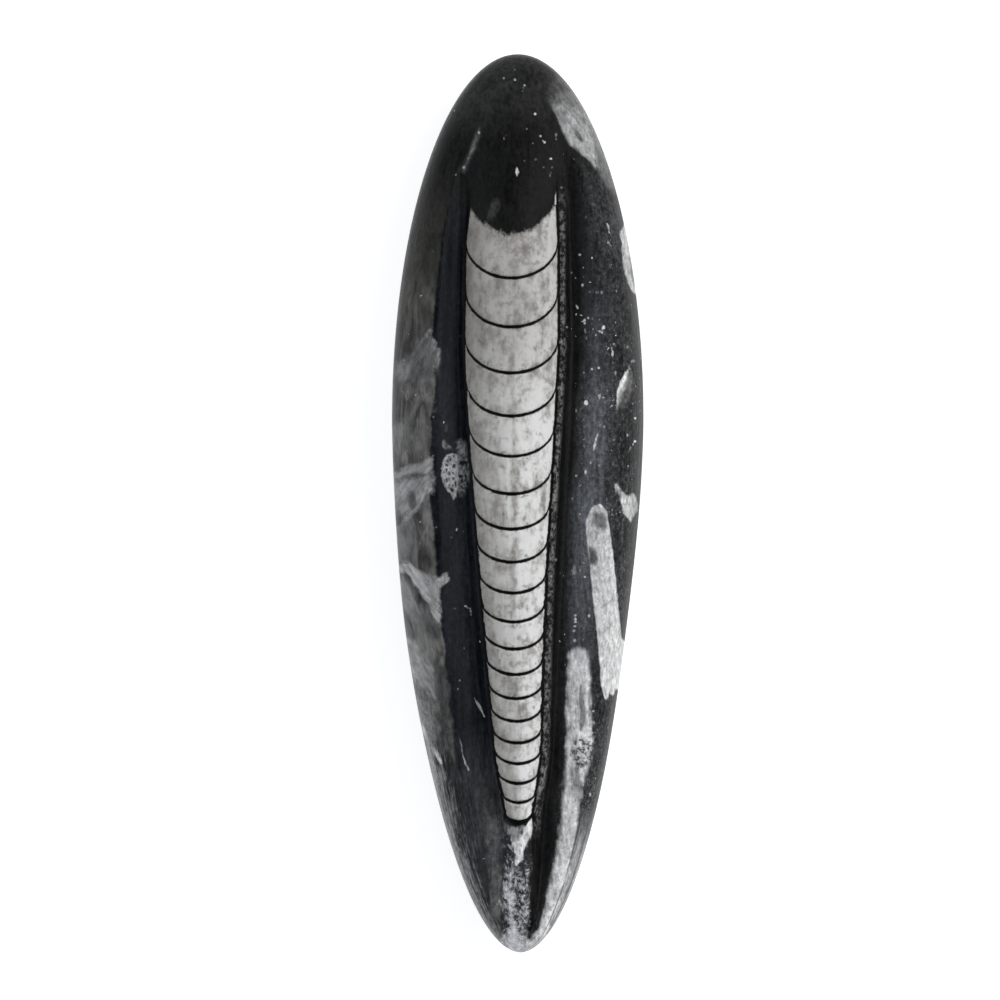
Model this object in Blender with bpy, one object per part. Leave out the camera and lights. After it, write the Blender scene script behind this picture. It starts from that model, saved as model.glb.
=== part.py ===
"""An orthoceras fossil in its black limestone, cut and polished to an almond that lies on its back.

One piece of stone, in metres, with +Z up. It rests on the flat of its underside at z = 0. The long side
runs along Y, with the blunt end, where the shell's mouth was, at +Y and the point at -Y.

The surface starts as a sphere with its poles at the two ends. Each ring of the sphere becomes one
section of the stone, and each point of a ring goes to its own place on that section: rim, shoulder,
trough, the raised shell, and back under the stone. Three rings meet in the groove at each chamber wall.
"""

import math

import bmesh
import bpy
import numpy as np

MM = 0.001

# The almond, seen from above
HALF_LENGTH = 75.0 * MM
HALF_WIDTH = 21.0 * MM
WIDEST_AT = 14.1 * MM
BLUNT_FULLNESS = (2.0, 2.0)
POINTED_FULLNESS = (1.63, 1.91)
WAIST_BOW = 0.35 * MM
WAIST_AT = -21.0 * MM
WAIST_LENGTH = 18.0 * MM
TIP_LEAN = 0.45 * MM
TIP_LEAN_FROM = -35.0 * MM

# The almond, seen from the side
RIM_HEIGHT = 10.0 * MM
CROWN_HEIGHT = 24.5 * MM
CROWN_FALL = 0.88
DOME_FULLNESS = (2.5, 2.25)
FLAT_ACROSS = 0.6
FLAT_ALONG = 0.72
BELLY_ROUNDING = 1.5

# The raised shell: a cone that tapers from the mouth to the point, where the stone closes over it
MOUTH_RADIUS = 7.7 * MM
LAST_RADIUS = 3.2 * MM
TAPER_FROM = 26.0 * MM
TAPER_TO = -53.0 * MM
PINCH = 1.0 * MM
PINCH_FROM = -41.0 * MM
AXIS_AT_MOUTH = -1.0 * MM
AXIS_SHIFT = 1.25 * MM
AXIS_STRAIGHT_TO = -60.0 * MM
SHELL_BULGE = 0.47
MOST_OF_WIDTH = 0.5
MOST_OFF_CENTRE = 0.1

# The troughs carved along both sides of it
LEFT_SHOULDER = -0.69
RIGHT_SHOULDER = 0.74
LEFT_FLOOR = 0.3
RIGHT_FLOOR = 0.32
LEFT_DEPTH = 2.4 * MM
RIGHT_DEPTH = 2.9 * MM
DEPTH_FALL = 0.7
EDGE_SOFTNESS = 0.6
EDGE_WEAR = 0.4 * MM
WEAR_REACH = 0.07
TROUGH_STARTS = 66.0 * MM
TROUGH_FULL_FROM = 44.0 * MM
TROUGH_FULL_TO = -60.0 * MM
TROUGH_ENDS = -73.5 * MM

# The chamber walls: each chamber is a little shorter than the one before it
CHAMBER_WALLS = 19
FIRST_WALL = 37.62 * MM
CHAMBER_LENGTH = 8.454 * MM
CHAMBER_SHRINK = 0.271 * MM
CHAMBER_EASE = 0.00452 * MM
WALL_RISE = 0.5
MOUTH_WALL_RISE = 0.62
WALL_CURL = 0.95
GROOVE_WIDTH = 1.0 * MM
GROOVE_DEPTH = 0.35 * MM
MOUTH_EDGE = 45.0 * MM

# Points around a section, counted from the left rim over the top to the right rim and back below
LEFT_RIM, LEFT_CREST, LEFT_LOW, SHELL_LEFT = 0, 5, 8, 10
SHELL_RIGHT, RIGHT_LOW, RIGHT_CREST, RIGHT_RIM = 22, 25, 28, 33
BASE_RIGHT, BASE_LEFT, AROUND = 36, 39, 42
CAP_RINGS = 12
TIP_RINGS = 11
SHARPEST_BEND = 45.0


def clamp(value, low=0.0, high=1.0):
    return max(low, min(high, value))


def smooth(value):
    """An S from 0 to 1 that starts and ends level."""
    value = clamp(value)
    return value * value * (3.0 - 2.0 * value)


def fullness(share, powers):
    """A superellipse's height at this share of the way from its middle to its end."""
    return (1.0 - clamp(share) ** powers[0]) ** (1.0 / powers[1])


def width_share(y):
    """The half-width at y as a share of the widest: a half ellipse to the blunt end, sharper to the point."""
    if y > WIDEST_AT:
        return fullness((y - WIDEST_AT) / (HALF_LENGTH - WIDEST_AT), BLUNT_FULLNESS)
    return fullness((WIDEST_AT - y) / (HALF_LENGTH + WIDEST_AT), POINTED_FULLNESS)


def centre_line(y):
    """The outline's middle: it bows to the left at the waist and leans to the right at the point."""
    bow = WAIST_BOW * math.exp(-(((y - WAIST_AT) / WAIST_LENGTH) ** 2))
    lean = clamp((TIP_LEAN_FROM - y) / (HALF_LENGTH + TIP_LEAN_FROM)) ** 1.5
    return TIP_LEAN * lean - bow


def crown(y):
    """The height of the ridge's top line."""
    return RIM_HEIGHT + (CROWN_HEIGHT - RIM_HEIGHT) * width_share(y) ** CROWN_FALL


def dome(y, across):
    """The uncarved top, across running from -1 at the left rim to 1 at the right."""
    return RIM_HEIGHT + (crown(y) - RIM_HEIGHT) * fullness(abs(across), DOME_FULLNESS)


def underside(y, across):
    """Flat in the middle, rounding up to the rim at the sides and at both ends."""
    lift = 1.0 - clamp(width_share(y) / FLAT_ALONG)
    depth = RIM_HEIGHT * (1.0 - lift**BELLY_ROUNDING)
    outside = clamp((abs(across) - FLAT_ACROSS) / (1.0 - FLAT_ACROSS))
    return RIM_HEIGHT - depth * math.sqrt(1.0 - outside * outside)


def shell_axis(y):
    """Where the shell's middle lies: straight down the blunt half, then easing over to the right."""
    return AXIS_AT_MOUTH + AXIS_SHIFT * smooth(y / AXIS_STRAIGHT_TO)


def shell_radius(y):
    """The cone's half-width, never more than its share of the stone."""
    along = clamp((TAPER_FROM - y) / (TAPER_FROM - TAPER_TO))
    pinch = PINCH * smooth((PINCH_FROM - y) / (PINCH_FROM - TAPER_TO))
    cone = MOUTH_RADIUS + (LAST_RADIUS - MOUTH_RADIUS) * along - pinch
    return min(cone, MOST_OF_WIDTH * HALF_WIDTH * width_share(y))


def carving(y):
    """How much of the troughs' depth is there: none at the ends."""
    blunt = smooth((TROUGH_STARTS - y) / (TROUGH_STARTS - TROUGH_FULL_FROM))
    point = smooth((y - TROUGH_ENDS) / (TROUGH_FULL_TO - TROUGH_ENDS))
    return blunt * point


def landmarks(y):
    """The places across the top, from -1 to 1, at which the section changes its form."""
    half = HALF_WIDTH * width_share(y)
    radius = shell_radius(y) / half
    middle = clamp((shell_axis(y) - centre_line(y)) / half, -MOST_OFF_CENTRE, MOST_OFF_CENTRE)
    left, right = middle - radius, middle + radius
    left_low = left + (LEFT_SHOULDER - left) * LEFT_FLOOR
    right_low = right + (RIGHT_SHOULDER - right) * RIGHT_FLOOR
    return -1.0, LEFT_SHOULDER, left_low, left, right, right_low, RIGHT_SHOULDER, 1.0


def shell_top(y, sideways):
    """The shell's arc, sideways running from -1 at its left foot to 1 at its right."""
    return crown(y) - SHELL_BULGE * shell_radius(y) * sideways * sideways


def trough(y, across, foot, low, shoulder, depth):
    """One trough: down from the shell's foot to the floor, and up to a soft edge at the shoulder."""
    edge = dome(y, shoulder)
    floor = edge - depth * width_share(y) ** DEPTH_FALL
    if abs(across) < abs(low):
        return shell_top(y, 1.0) + (floor - shell_top(y, 1.0)) * smooth((across - foot) / (low - foot))
    climb = clamp((across - low) / (shoulder - low))
    rise = EDGE_SOFTNESS * smooth(climb) + (1.0 - EDGE_SOFTNESS) * (1.0 - math.cos(climb * math.pi / 2))
    return floor + (edge - floor) * rise


def carved(y, across):
    """The top with the troughs and the shell's arc at their full depth."""
    _, left_crest, left_low, left, right, right_low, right_crest, _ = landmarks(y)
    if not left_crest < across < right_crest:
        return dome(y, across)
    if across < left:
        return trough(y, across, left, left_low, left_crest, LEFT_DEPTH)
    if across > right:
        return trough(y, across, right, right_low, right_crest, RIGHT_DEPTH)
    return shell_top(y, 2.0 * (across - left) / (right - left) - 1.0)


def wear(across):
    """What the polishing takes off the shoulders' edges."""
    nearest = min(abs(across - LEFT_SHOULDER), abs(across - RIGHT_SHOULDER))
    return EDGE_WEAR * math.exp(-((nearest / WEAR_REACH) ** 2))


def top(y, across):
    """The finished top: the troughs fade into the dome towards the ends."""
    return dome(y, across) + carving(y) * (carved(y, across) - wear(across) - dome(y, across))


def place_across(y, slot):
    """Where a point of the ring lies across the top: evenly spaced by angle between the landmarks."""
    slots = (LEFT_RIM, LEFT_CREST, LEFT_LOW, SHELL_LEFT, SHELL_RIGHT, RIGHT_LOW, RIGHT_CREST, RIGHT_RIM)
    return math.sin(np.interp(slot, slots, np.arcsin(landmarks(y))))


def place_below(slot):
    """The same under the stone: a quarter turn to the flat, across it, and a quarter turn back."""
    if BASE_RIGHT <= slot <= BASE_LEFT:
        return np.interp(slot, (BASE_RIGHT, BASE_LEFT), (FLAT_ACROSS, -FLAT_ACROSS))
    past = slot - BASE_LEFT if slot > BASE_LEFT else BASE_RIGHT - slot
    turn = math.sin(past / (BASE_RIGHT - RIGHT_RIM) * math.pi / 2)
    side = -1.0 if slot > BASE_LEFT else 1.0
    return side * (FLAT_ACROSS + (1.0 - FLAT_ACROSS) * turn)


def wall_position(index):
    """Where a chamber wall crosses the shell's middle: the spacing shrinks towards the point."""
    return FIRST_WALL - (CHAMBER_LENGTH * index - CHAMBER_SHRINK * index**2 + CHAMBER_EASE * index**3)


def rings():
    """Each ring's place along the shell's middle and how deep it is cut, from the blunt end to the point."""
    walls = [wall_position(index) for index in range(CHAMBER_WALLS)]
    first, last = walls[0] + GROOVE_WIDTH / 2, walls[-1] - GROOVE_WIDTH / 2
    found = []
    for step in range(CAP_RINGS):
        turn = (step + 1) / (CAP_RINGS + 1) * math.pi / 2
        found.append((HALF_LENGTH - (HALF_LENGTH - first) * (1.0 - math.cos(turn)), 0.0))
    for index, y in enumerate(walls):
        found += [(y + GROOVE_WIDTH / 2, 0.0), (y, GROOVE_DEPTH), (y - GROOVE_WIDTH / 2, 0.0)]
        if index + 1 < CHAMBER_WALLS:
            found.append(((y + walls[index + 1]) / 2, 0.0))
    for step in range(TIP_RINGS):
        turn = (step + 1) / (TIP_RINGS + 1) * math.pi / 2
        found.append((last - (HALF_LENGTH + last) * math.sin(turn), 0.0))
    return found


def wall_rise(y):
    """How far a chamber wall curls up towards the mouth at the shell's sides."""
    share = WALL_RISE + (MOUTH_WALL_RISE - WALL_RISE) * smooth(y / FIRST_WALL)
    near_mouth = clamp((HALF_LENGTH - y) / (HALF_LENGTH - FIRST_WALL))
    near_tip = clamp((HALF_LENGTH + y) / (HALF_LENGTH + wall_position(CHAMBER_WALLS - 1)))
    return share * shell_radius(y) * near_mouth * near_tip


def curl(sideways):
    """The U of a chamber wall: 0 at the shell's middle, 1 from its sides outwards."""
    deepest = 1.0 - math.sqrt(1.0 - WALL_CURL**2)
    return (1.0 - math.sqrt(1.0 - (WALL_CURL * clamp(abs(sideways))) ** 2)) / deepest


def ring_point(y_middle, groove, slot):
    """One point of one section."""
    sideways = 2.0 * (slot - SHELL_LEFT) / (SHELL_RIGHT - SHELL_LEFT) - 1.0
    y = y_middle + wall_rise(y_middle) * curl(sideways)
    if slot > RIGHT_RIM:
        across = place_below(slot)
        height = underside(y, across)
    else:
        across = place_across(y, slot)
        height = top(y, across)
    if SHELL_LEFT < slot < SHELL_RIGHT:
        height -= groove * (1.0 - sideways**4)
    return centre_line(y) + HALF_WIDTH * width_share(y) * across, y, height


def stone_mesh():
    """The sphere's points moved to the stone's surface, ring by ring, its north pole to the blunt end."""
    sections = rings()
    segments = len(sections) + 1
    shape = bmesh.new()
    bmesh.ops.create_uvsphere(shape, u_segments=AROUND, v_segments=segments, radius=1.0)
    for point in shape.verts:
        ring = round(math.acos(clamp(point.co.z, -1.0)) / math.pi * segments)
        longitude = math.atan2(point.co.y, point.co.x) - math.pi / 2
        slot = round(longitude / math.tau * AROUND) % AROUND
        if 0 < ring < segments:
            point.co = ring_point(*sections[ring - 1], slot)
        else:
            end = HALF_LENGTH if ring == 0 else -HALF_LENGTH
            point.co = (centre_line(end), end, RIM_HEIGHT)
    mesh = bpy.data.meshes.new("orthoceras_stone")
    shape.to_mesh(mesh)
    shape.free()
    return mesh


def stone_finish(name, colour, roughness):
    """A Principled material for one kind of stone."""
    material = bpy.data.materials.new(name)
    material.use_nodes = True
    shader = material.node_tree.nodes["Principled BSDF"]
    shader.inputs["Base Color"].default_value = (*colour, 1.0)
    shader.inputs["Roughness"].default_value = roughness
    shader.inputs["Metallic"].default_value = 0.0
    return material


def is_chamber(x, y, z):
    """Whether a point of the surface belongs to the pale chambers."""
    sideways = (x - shell_axis(y)) / shell_radius(y)
    if abs(sideways) > 1.0 or z < RIM_HEIGHT:
        return False
    middle = y - wall_rise(y) * curl(sideways)
    return wall_position(CHAMBER_WALLS - 1) < middle < MOUTH_EDGE


def build():
    for leftover in list(bpy.data.objects):
        bpy.data.objects.remove(leftover, do_unlink=True)
    collection = bpy.data.collections.new("orthoceras_fossil")
    bpy.context.scene.collection.children.link(collection)
    mesh = stone_mesh()
    mesh.materials.append(stone_finish("black_limestone", (0.016, 0.017, 0.018), 0.35))
    mesh.materials.append(stone_finish("pale_chambers", (0.42, 0.41, 0.40), 0.4))
    for face in mesh.polygons:
        face.material_index = int(is_chamber(*face.center))
    mesh.shade_smooth()
    mesh.set_sharp_from_angle(angle=math.radians(SHARPEST_BEND))
    collection.objects.link(bpy.data.objects.new("orthoceras_stone", mesh))


build()
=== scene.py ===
import math

import bpy
import numpy as np
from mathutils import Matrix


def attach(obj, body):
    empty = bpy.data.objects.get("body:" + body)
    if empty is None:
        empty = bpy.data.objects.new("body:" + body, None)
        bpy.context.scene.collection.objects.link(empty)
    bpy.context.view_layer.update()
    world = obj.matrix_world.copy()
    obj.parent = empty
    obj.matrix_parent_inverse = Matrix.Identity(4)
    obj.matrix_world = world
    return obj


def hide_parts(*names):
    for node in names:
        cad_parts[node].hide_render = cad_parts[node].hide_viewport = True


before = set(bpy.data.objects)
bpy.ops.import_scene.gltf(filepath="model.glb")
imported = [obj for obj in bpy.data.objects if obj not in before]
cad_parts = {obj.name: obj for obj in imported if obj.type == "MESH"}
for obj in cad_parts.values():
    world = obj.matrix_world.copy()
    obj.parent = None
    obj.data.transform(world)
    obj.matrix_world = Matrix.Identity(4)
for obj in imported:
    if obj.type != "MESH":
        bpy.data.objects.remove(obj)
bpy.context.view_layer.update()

# ---------------------------------------------------------------------------------------------------------
# The almond. A slab of black limestone, sawn flat on its back and ground by hand to a long almond, blunt
# where the shell's mouth was and pointed where the shell runs out. Its rim stands a finger's breadth above
# the table, and its top is one low dome. Lengths are in millimetres until the points go into the mesh.
HALF_LENGTH, HALF_WIDTH, WIDEST_AT = 75, 21, 14.1
BLUNT_FULLNESS, POINTED_FULLNESS = (2, 2), (1.63, 1.91)
WAIST_BOW, WAIST_AT, WAIST_LENGTH = 0.35, -21, 18
TIP_LEAN, TIP_LEAN_FROM, TIP_LEAN_POWER = 0.45, -35, 1.5
RIM_HEIGHT, CROWN_HEIGHT, CROWN_FALL = 10, 24.5, 0.88
DOME_FULLNESS = (2.5, 2.25)
FLAT_ACROSS, FLAT_ALONG, BELLY_ROUNDING = 0.6, 0.72, 1.5
MM = 0.001


def smooth(share):
    """An S from 0 to 1 that starts and ends level: 3t^2 - 2t^3."""
    share = np.clip(share, 0, 1)
    return share * share * (3 - 2 * share)


def bell(value, middle, length, power=2):
    """1 at the middle, falling away on both sides over a length: exp(-((v - middle) / length)^power)."""
    return np.exp(-(((value - middle) / length) ** power))


def fullness(share, powers):
    """A superellipse's height at this share of the way from its middle to its end: (1 - share^p)^(1/q)."""
    return (1 - np.clip(share, 0, 1) ** powers[0]) ** (1 / powers[1])


def width_share(y):
    """Half-width over the widest: half an ellipse towards the blunt end, a sharper curve to the point."""
    blunt = fullness((y - WIDEST_AT) / (HALF_LENGTH - WIDEST_AT), BLUNT_FULLNESS)
    pointed = fullness((WIDEST_AT - y) / (HALF_LENGTH + WIDEST_AT), POINTED_FULLNESS)
    return np.where(y > WIDEST_AT, blunt, pointed)


def centre_line(y):
    """The outline's middle: a bell-shaped bow to the left at the waist, a power curve right at the point."""
    lean = np.clip((TIP_LEAN_FROM - y) / (HALF_LENGTH + TIP_LEAN_FROM), 0, 1) ** TIP_LEAN_POWER
    return TIP_LEAN * lean - WAIST_BOW * bell(y, WAIST_AT, WAIST_LENGTH)


def crown(y):
    """The ridge's top line: from the rim up to the crown by a power of the width."""
    return RIM_HEIGHT + (CROWN_HEIGHT - RIM_HEIGHT) * width_share(y) ** CROWN_FALL


def dome(y, across):
    """The uncarved top, a superellipse from the left rim at -1 to the right rim at 1."""
    return RIM_HEIGHT + (crown(y) - RIM_HEIGHT) * fullness(np.abs(across), DOME_FULLNESS)


def underside(y, across):
    """Flat in the middle, a quarter ellipse up to the rim at the sides, and shallower towards both ends."""
    depth = RIM_HEIGHT * (1 - (1 - np.clip(width_share(y) / FLAT_ALONG, 0, 1)) ** BELLY_ROUNDING)
    outside = np.clip((np.abs(across) - FLAT_ACROSS) / (1 - FLAT_ACROSS), 0, 1)
    return RIM_HEIGHT - depth * np.sqrt(1 - outside**2)


# ---------------------------------------------------------------------------------------------------------
# The shell. The straight cone of a cephalopod, turned to calcite in the limestone and ground down to its
# middle, so that it shows as a raised bar of chambers. Nineteen thin walls, curled up towards the mouth at
# both sides, cross it, each chamber a little shorter than the last, and a groove follows each wall.
MOUTH_RADIUS, LAST_RADIUS = 7.7, 3.2
TAPER_FROM, TAPER_TO = 26, -53
PINCH, PINCH_FROM = 1, -41
AXIS_AT_MOUTH, AXIS_SHIFT, AXIS_STRAIGHT_TO = -1, 1.25, -60
SHELL_BULGE, MOST_OF_WIDTH, MOST_OFF_CENTRE = 0.47, 0.5, 0.1
CHAMBER_WALLS, FIRST_WALL, MOUTH_EDGE = 19, 37.62, 45
CHAMBER_LENGTH, CHAMBER_SHRINK, CHAMBER_EASE = 8.454, 0.271, 0.00452
WALL_RISE, MOUTH_WALL_RISE, WALL_CURL = 0.56, 0.70, 0.985
GROOVE_WIDTH, GROOVE_DEPTH = 1, 0.35

counted = np.arange(CHAMBER_WALLS)
WALLS = FIRST_WALL - (CHAMBER_LENGTH * counted - CHAMBER_SHRINK * counted**2 + CHAMBER_EASE * counted**3)


def shell_axis(y):
    """Where the shell's middle lies: left of the stone's, easing over to the right towards the point."""
    return AXIS_AT_MOUTH + AXIS_SHIFT * smooth(y / AXIS_STRAIGHT_TO)


def shell_radius(y):
    """The cone's half-width: a straight taper and a pinch at its end, never over its share of the stone."""
    along = np.clip((TAPER_FROM - y) / (TAPER_FROM - TAPER_TO), 0, 1)
    pinch = PINCH * smooth((PINCH_FROM - y) / (PINCH_FROM - TAPER_TO))
    cone = MOUTH_RADIUS + (LAST_RADIUS - MOUTH_RADIUS) * along - pinch
    return np.minimum(cone, MOST_OF_WIDTH * HALF_WIDTH * width_share(y))


def shell_top(y, sideways):
    """The shell's arc: a parabola that falls from the crown to the feet at sideways -1 and 1."""
    return crown(y) - SHELL_BULGE * shell_radius(y) * sideways**2


def wall_rise(y):
    """How far a chamber wall curls up towards the mouth at the shell's sides: a share of its radius."""
    share = WALL_RISE + (MOUTH_WALL_RISE - WALL_RISE) * smooth(y / FIRST_WALL)
    near_mouth = np.clip((HALF_LENGTH - y) / (HALF_LENGTH - FIRST_WALL), 0, 1)
    near_tip = np.clip((HALF_LENGTH + y) / (HALF_LENGTH + WALLS[-1]), 0, 1)
    return share * shell_radius(y) * near_mouth * near_tip


def curl(sideways):
    """The U of a chamber wall, an arc of a circle: 0 at the shell's middle, 1 from its sides outwards."""
    deepest = 1 - math.sqrt(1 - WALL_CURL**2)
    return (1 - np.sqrt(1 - (WALL_CURL * np.clip(np.abs(sideways), 0, 1)) ** 2)) / deepest


def groove(to_wall, sideways):
    """The cut along a wall: an S from its edge to its bottom, fading out at the shell's feet."""
    within = np.clip(np.abs(sideways), 0, 1)
    return GROOVE_DEPTH * smooth(1 - to_wall / (GROOVE_WIDTH / 2)) * (1 - within**4)


# ---------------------------------------------------------------------------------------------------------
# The troughs. Two hollows carved along the shell to raise it, each with a soft shoulder towards the flank.
# A rough ledge of uncut limestone is left at the foot of the shell's right side, with a scribed line on
# either side of it. On the left the trough runs straight into the foot.
LEFT_SHOULDER, RIGHT_SHOULDER = -0.69, 0.74
LEFT_FLOOR, RIGHT_FLOOR = 0.3, 0.32
LEFT_DEPTH, RIGHT_DEPTH, DEPTH_FALL = 2.4, 2.9, 0.7
EDGE_SOFTNESS, EDGE_WEAR, WEAR_REACH = 0.6, 0.4, 0.07
TROUGH_STARTS, TROUGH_FULL_FROM, TROUGH_FULL_TO, TROUGH_ENDS = 66, 44, -60, -73.5
LEDGE_AT, LEDGE_WIDTH, LEDGE_HEIGHT = 1.15, 1.3, 0.3
LEDGE_STARTS, LEDGE_ENDS, LEDGE_FADE = 54, -57, 6
SCRIBE_AT, SCRIBE_WIDTH, SCRIBE_DEPTH = 0.2, 0.35, 0.22


def carving(y):
    """How much of the troughs' depth is there: an S in from either end."""
    blunt = smooth((TROUGH_STARTS - y) / (TROUGH_STARTS - TROUGH_FULL_FROM))
    return blunt * smooth((y - TROUGH_ENDS) / (TROUGH_FULL_TO - TROUGH_ENDS))


def landmarks(y):
    """The places across the top, from -1 to 1, at which the section changes its form."""
    half = HALF_WIDTH * width_share(y)
    radius = shell_radius(y) / half
    middle = np.clip((shell_axis(y) - centre_line(y)) / half, -MOST_OFF_CENTRE, MOST_OFF_CENTRE)
    left, right = middle - radius, middle + radius
    left_low = left + (LEFT_SHOULDER - left) * LEFT_FLOOR
    right_low = right + (RIGHT_SHOULDER - right) * RIGHT_FLOOR
    rim = np.ones_like(y)
    left_crest, right_crest = LEFT_SHOULDER * rim, RIGHT_SHOULDER * rim
    return np.stack((-rim, left_crest, left_low, left, right, right_low, right_crest, rim))


def trough(y, across, foot, low, shoulder, depth):
    """An S down from the shell's foot to the floor, then a climb to the shoulder: an S with a little of a
    quarter wave in it."""
    edge = dome(y, shoulder)
    floor = edge - depth * width_share(y) ** DEPTH_FALL
    fall = shell_top(y, 1) + (floor - shell_top(y, 1)) * smooth((across - foot) / (low - foot))
    climb = np.clip((across - low) / (shoulder - low), 0, 1)
    rise = EDGE_SOFTNESS * smooth(climb) + (1 - EDGE_SOFTNESS) * (1 - np.cos(climb * math.pi / 2))
    return np.where(np.abs(across) < np.abs(low), fall, floor + (edge - floor) * rise)


def carved(y, across):
    """The top with the troughs and the shell's arc at their full depth, and the dome past the shoulders."""
    _, left_crest, left_low, left, right, right_low, right_crest, _ = landmarks(y)
    shell = shell_top(y, 2 * (across - left) / (right - left) - 1)
    left_trough = trough(y, across, left, left_low, left_crest, LEFT_DEPTH)
    right_trough = trough(y, across, right, right_low, right_crest, RIGHT_DEPTH)
    inside = np.where(across < left, left_trough, np.where(across > right, right_trough, shell))
    return np.where((across > left_crest) & (across < right_crest), inside, dome(y, across))


def top(y, across):
    """The finished top: the troughs fade into the dome towards the ends, and the shoulders are worn round."""
    nearest = np.minimum(np.abs(across - LEFT_SHOULDER), np.abs(across - RIGHT_SHOULDER))
    wear = EDGE_WEAR * bell(nearest, 0, WEAR_REACH)
    return dome(y, across) + carving(y) * (carved(y, across) - wear - dome(y, across))


def ledge_length(y):
    """1 along the ledge, with an S down to 0 past either end."""
    return smooth((LEDGE_STARTS - y) / LEDGE_FADE) * smooth((y - LEDGE_ENDS) / LEDGE_FADE)


def foot_relief(y, past_left, past_right):
    """The ledge as a bell and the scribed lines as narrow bells below, by the distance past the feet."""
    ledge = LEDGE_HEIGHT * bell(past_right, LEDGE_AT, LEDGE_WIDTH / 2, power=4)
    lines = bell(past_right, SCRIBE_AT, SCRIBE_WIDTH) + bell(past_left, SCRIBE_AT, SCRIBE_WIDTH)
    return ledge_length(y) * ledge - carving(y) * SCRIBE_DEPTH * lines


# ---------------------------------------------------------------------------------------------------------
# The stone's surface. One closed skin: rings from the blunt end to the point, which curl as the chamber
# walls do, and points round each ring from the left rim over the top to the right rim and back below.
# The rings lie close together in the grooves, and the points lie close together on the shell.
GROOVE_STEPS = np.array((0.75, 0.38, 0.17, 0, -0.17, -0.38, -0.75))
CHAMBER_STEP = 0.66
CAP_RINGS, TIP_RINGS = 78, 52

# Stations count round a ring. The first eight are the landmarks across the top, and the last three are the
# right and left edges of the flat back and the left rim again.
STATIONS = (0, 5, 8, 10, 22, 25, 28, 33, 36, 39, 42)
POINTS_BETWEEN = (38, 26, 20, 64, 26, 24, 36, 12, 6, 12)
TOP_STATIONS, RIGHT_RIM, BASE_RIGHT, BASE_LEFT = 8, 33, 36, 39
SHELL_LEFT, SHELL_RIGHT = 10, 22


def ring_places():
    """Each ring's place on the shell's middle: a cosine in from both ends, even steps within a chamber."""
    turns = np.arange(1, CAP_RINGS + 1) / (CAP_RINGS + 1) * math.pi / 2
    first, last = WALLS[0] + GROOVE_STEPS[0], WALLS[-1] + GROOVE_STEPS[-1]
    places = [HALF_LENGTH - (HALF_LENGTH - first) * (1 - np.cos(turns))]
    for wall, following in zip(WALLS, np.append(WALLS[1:], np.nan)):
        places.append(wall + GROOVE_STEPS)
        if not np.isnan(following):
            start, end = wall + GROOVE_STEPS[-1], following + GROOVE_STEPS[0]
            places.append(np.linspace(start, end, max(2, round((start - end) / CHAMBER_STEP)) + 1)[1:-1])
    turns = np.arange(1, TIP_RINGS + 1) / (TIP_RINGS + 1) * math.pi / 2
    places.append(last - (HALF_LENGTH + last) * np.sin(turns))
    return np.concatenate(places)


def place_across(y, station):
    """Where a point lies across the top: evenly spaced by angle between the landmarks, as a sphere's are."""
    knots = np.array(STATIONS[:TOP_STATIONS], float)
    first = np.clip(np.searchsorted(knots, station, side="right") - 1, 0, TOP_STATIONS - 2)
    share = np.clip((station - knots[first]) / (knots[first + 1] - knots[first]), 0, 1)
    angles = np.arcsin(np.clip(landmarks(y), -1, 1))
    column = np.arange(len(station))
    start, end = angles[first, :, column].T, angles[first + 1, :, column].T
    return np.sin(start + (end - start) * share)


def place_below(station):
    """The same under the stone: a quarter turn in to the flat, straight across it, and a quarter turn out."""
    level = FLAT_ACROSS * (1 - 2 * (station - BASE_RIGHT) / (BASE_LEFT - BASE_RIGHT))
    past = np.maximum(station - BASE_LEFT, BASE_RIGHT - station)
    turn = np.sin(np.clip(past / (BASE_RIGHT - RIGHT_RIM), 0, 1) * math.pi / 2)
    side = np.where(station > BASE_LEFT, -1, 1)
    return np.where(past > 0, side * (FLAT_ACROSS + (1 - FLAT_ACROSS) * turn), level)


def ripples(x, y, length, seed, waves=24):
    """Soft relief of about -1 to 1: the sum of plane waves of about this length in seeded directions."""
    draw = np.random.default_rng(seed)
    total = np.zeros(x.shape)
    for turn, phase, stretch in zip(
        draw.uniform(0, math.tau, waves), draw.uniform(0, math.tau, waves), draw.uniform(0.7, 1.4, waves)
    ):
        total += np.sin((x * math.cos(turn) + y * math.sin(turn)) * math.tau / (length * stretch) + phase)
    return total / math.sqrt(waves)


station = np.concatenate(
    [np.linspace(a, b, n, endpoint=False) for a, b, n in zip(STATIONS, STATIONS[1:], POINTS_BETWEEN)]
)
y_middle = ring_places()[:, None]
shell_sideways = 2 * (station - SHELL_LEFT) / (SHELL_RIGHT - SHELL_LEFT) - 1
y = y_middle + wall_rise(y_middle) * curl(shell_sideways)
below = station > RIGHT_RIM
across = np.where(below, place_below(station), place_across(y, station))
half_width = HALF_WIDTH * width_share(y)
x = centre_line(y) + half_width * across

feet = landmarks(y)[3:5] * half_width + centre_line(y)
past_left = np.where(below, HALF_WIDTH, feet[0] - x)
past_right = np.where(below, HALF_WIDTH, x - feet[1])
to_wall = np.abs(y_middle - WALLS).min(axis=1, keepdims=True) + np.zeros_like(x)
on_shell = (past_left < 0) & (past_right < 0)

# How often it is polished, then the stretch of stations that is reached and the one about the shell that is
# spared: each its middle, how far it goes to either side and over how much it fades.
POLISHING = 90
POLISHED_ABOUT, POLISHED_REACH, POLISHED_FADE = 19, 16, 2
SPARED_ABOUT, SPARED_REACH, SPARED_FADE = 16, 7.2, 1.5


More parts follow.
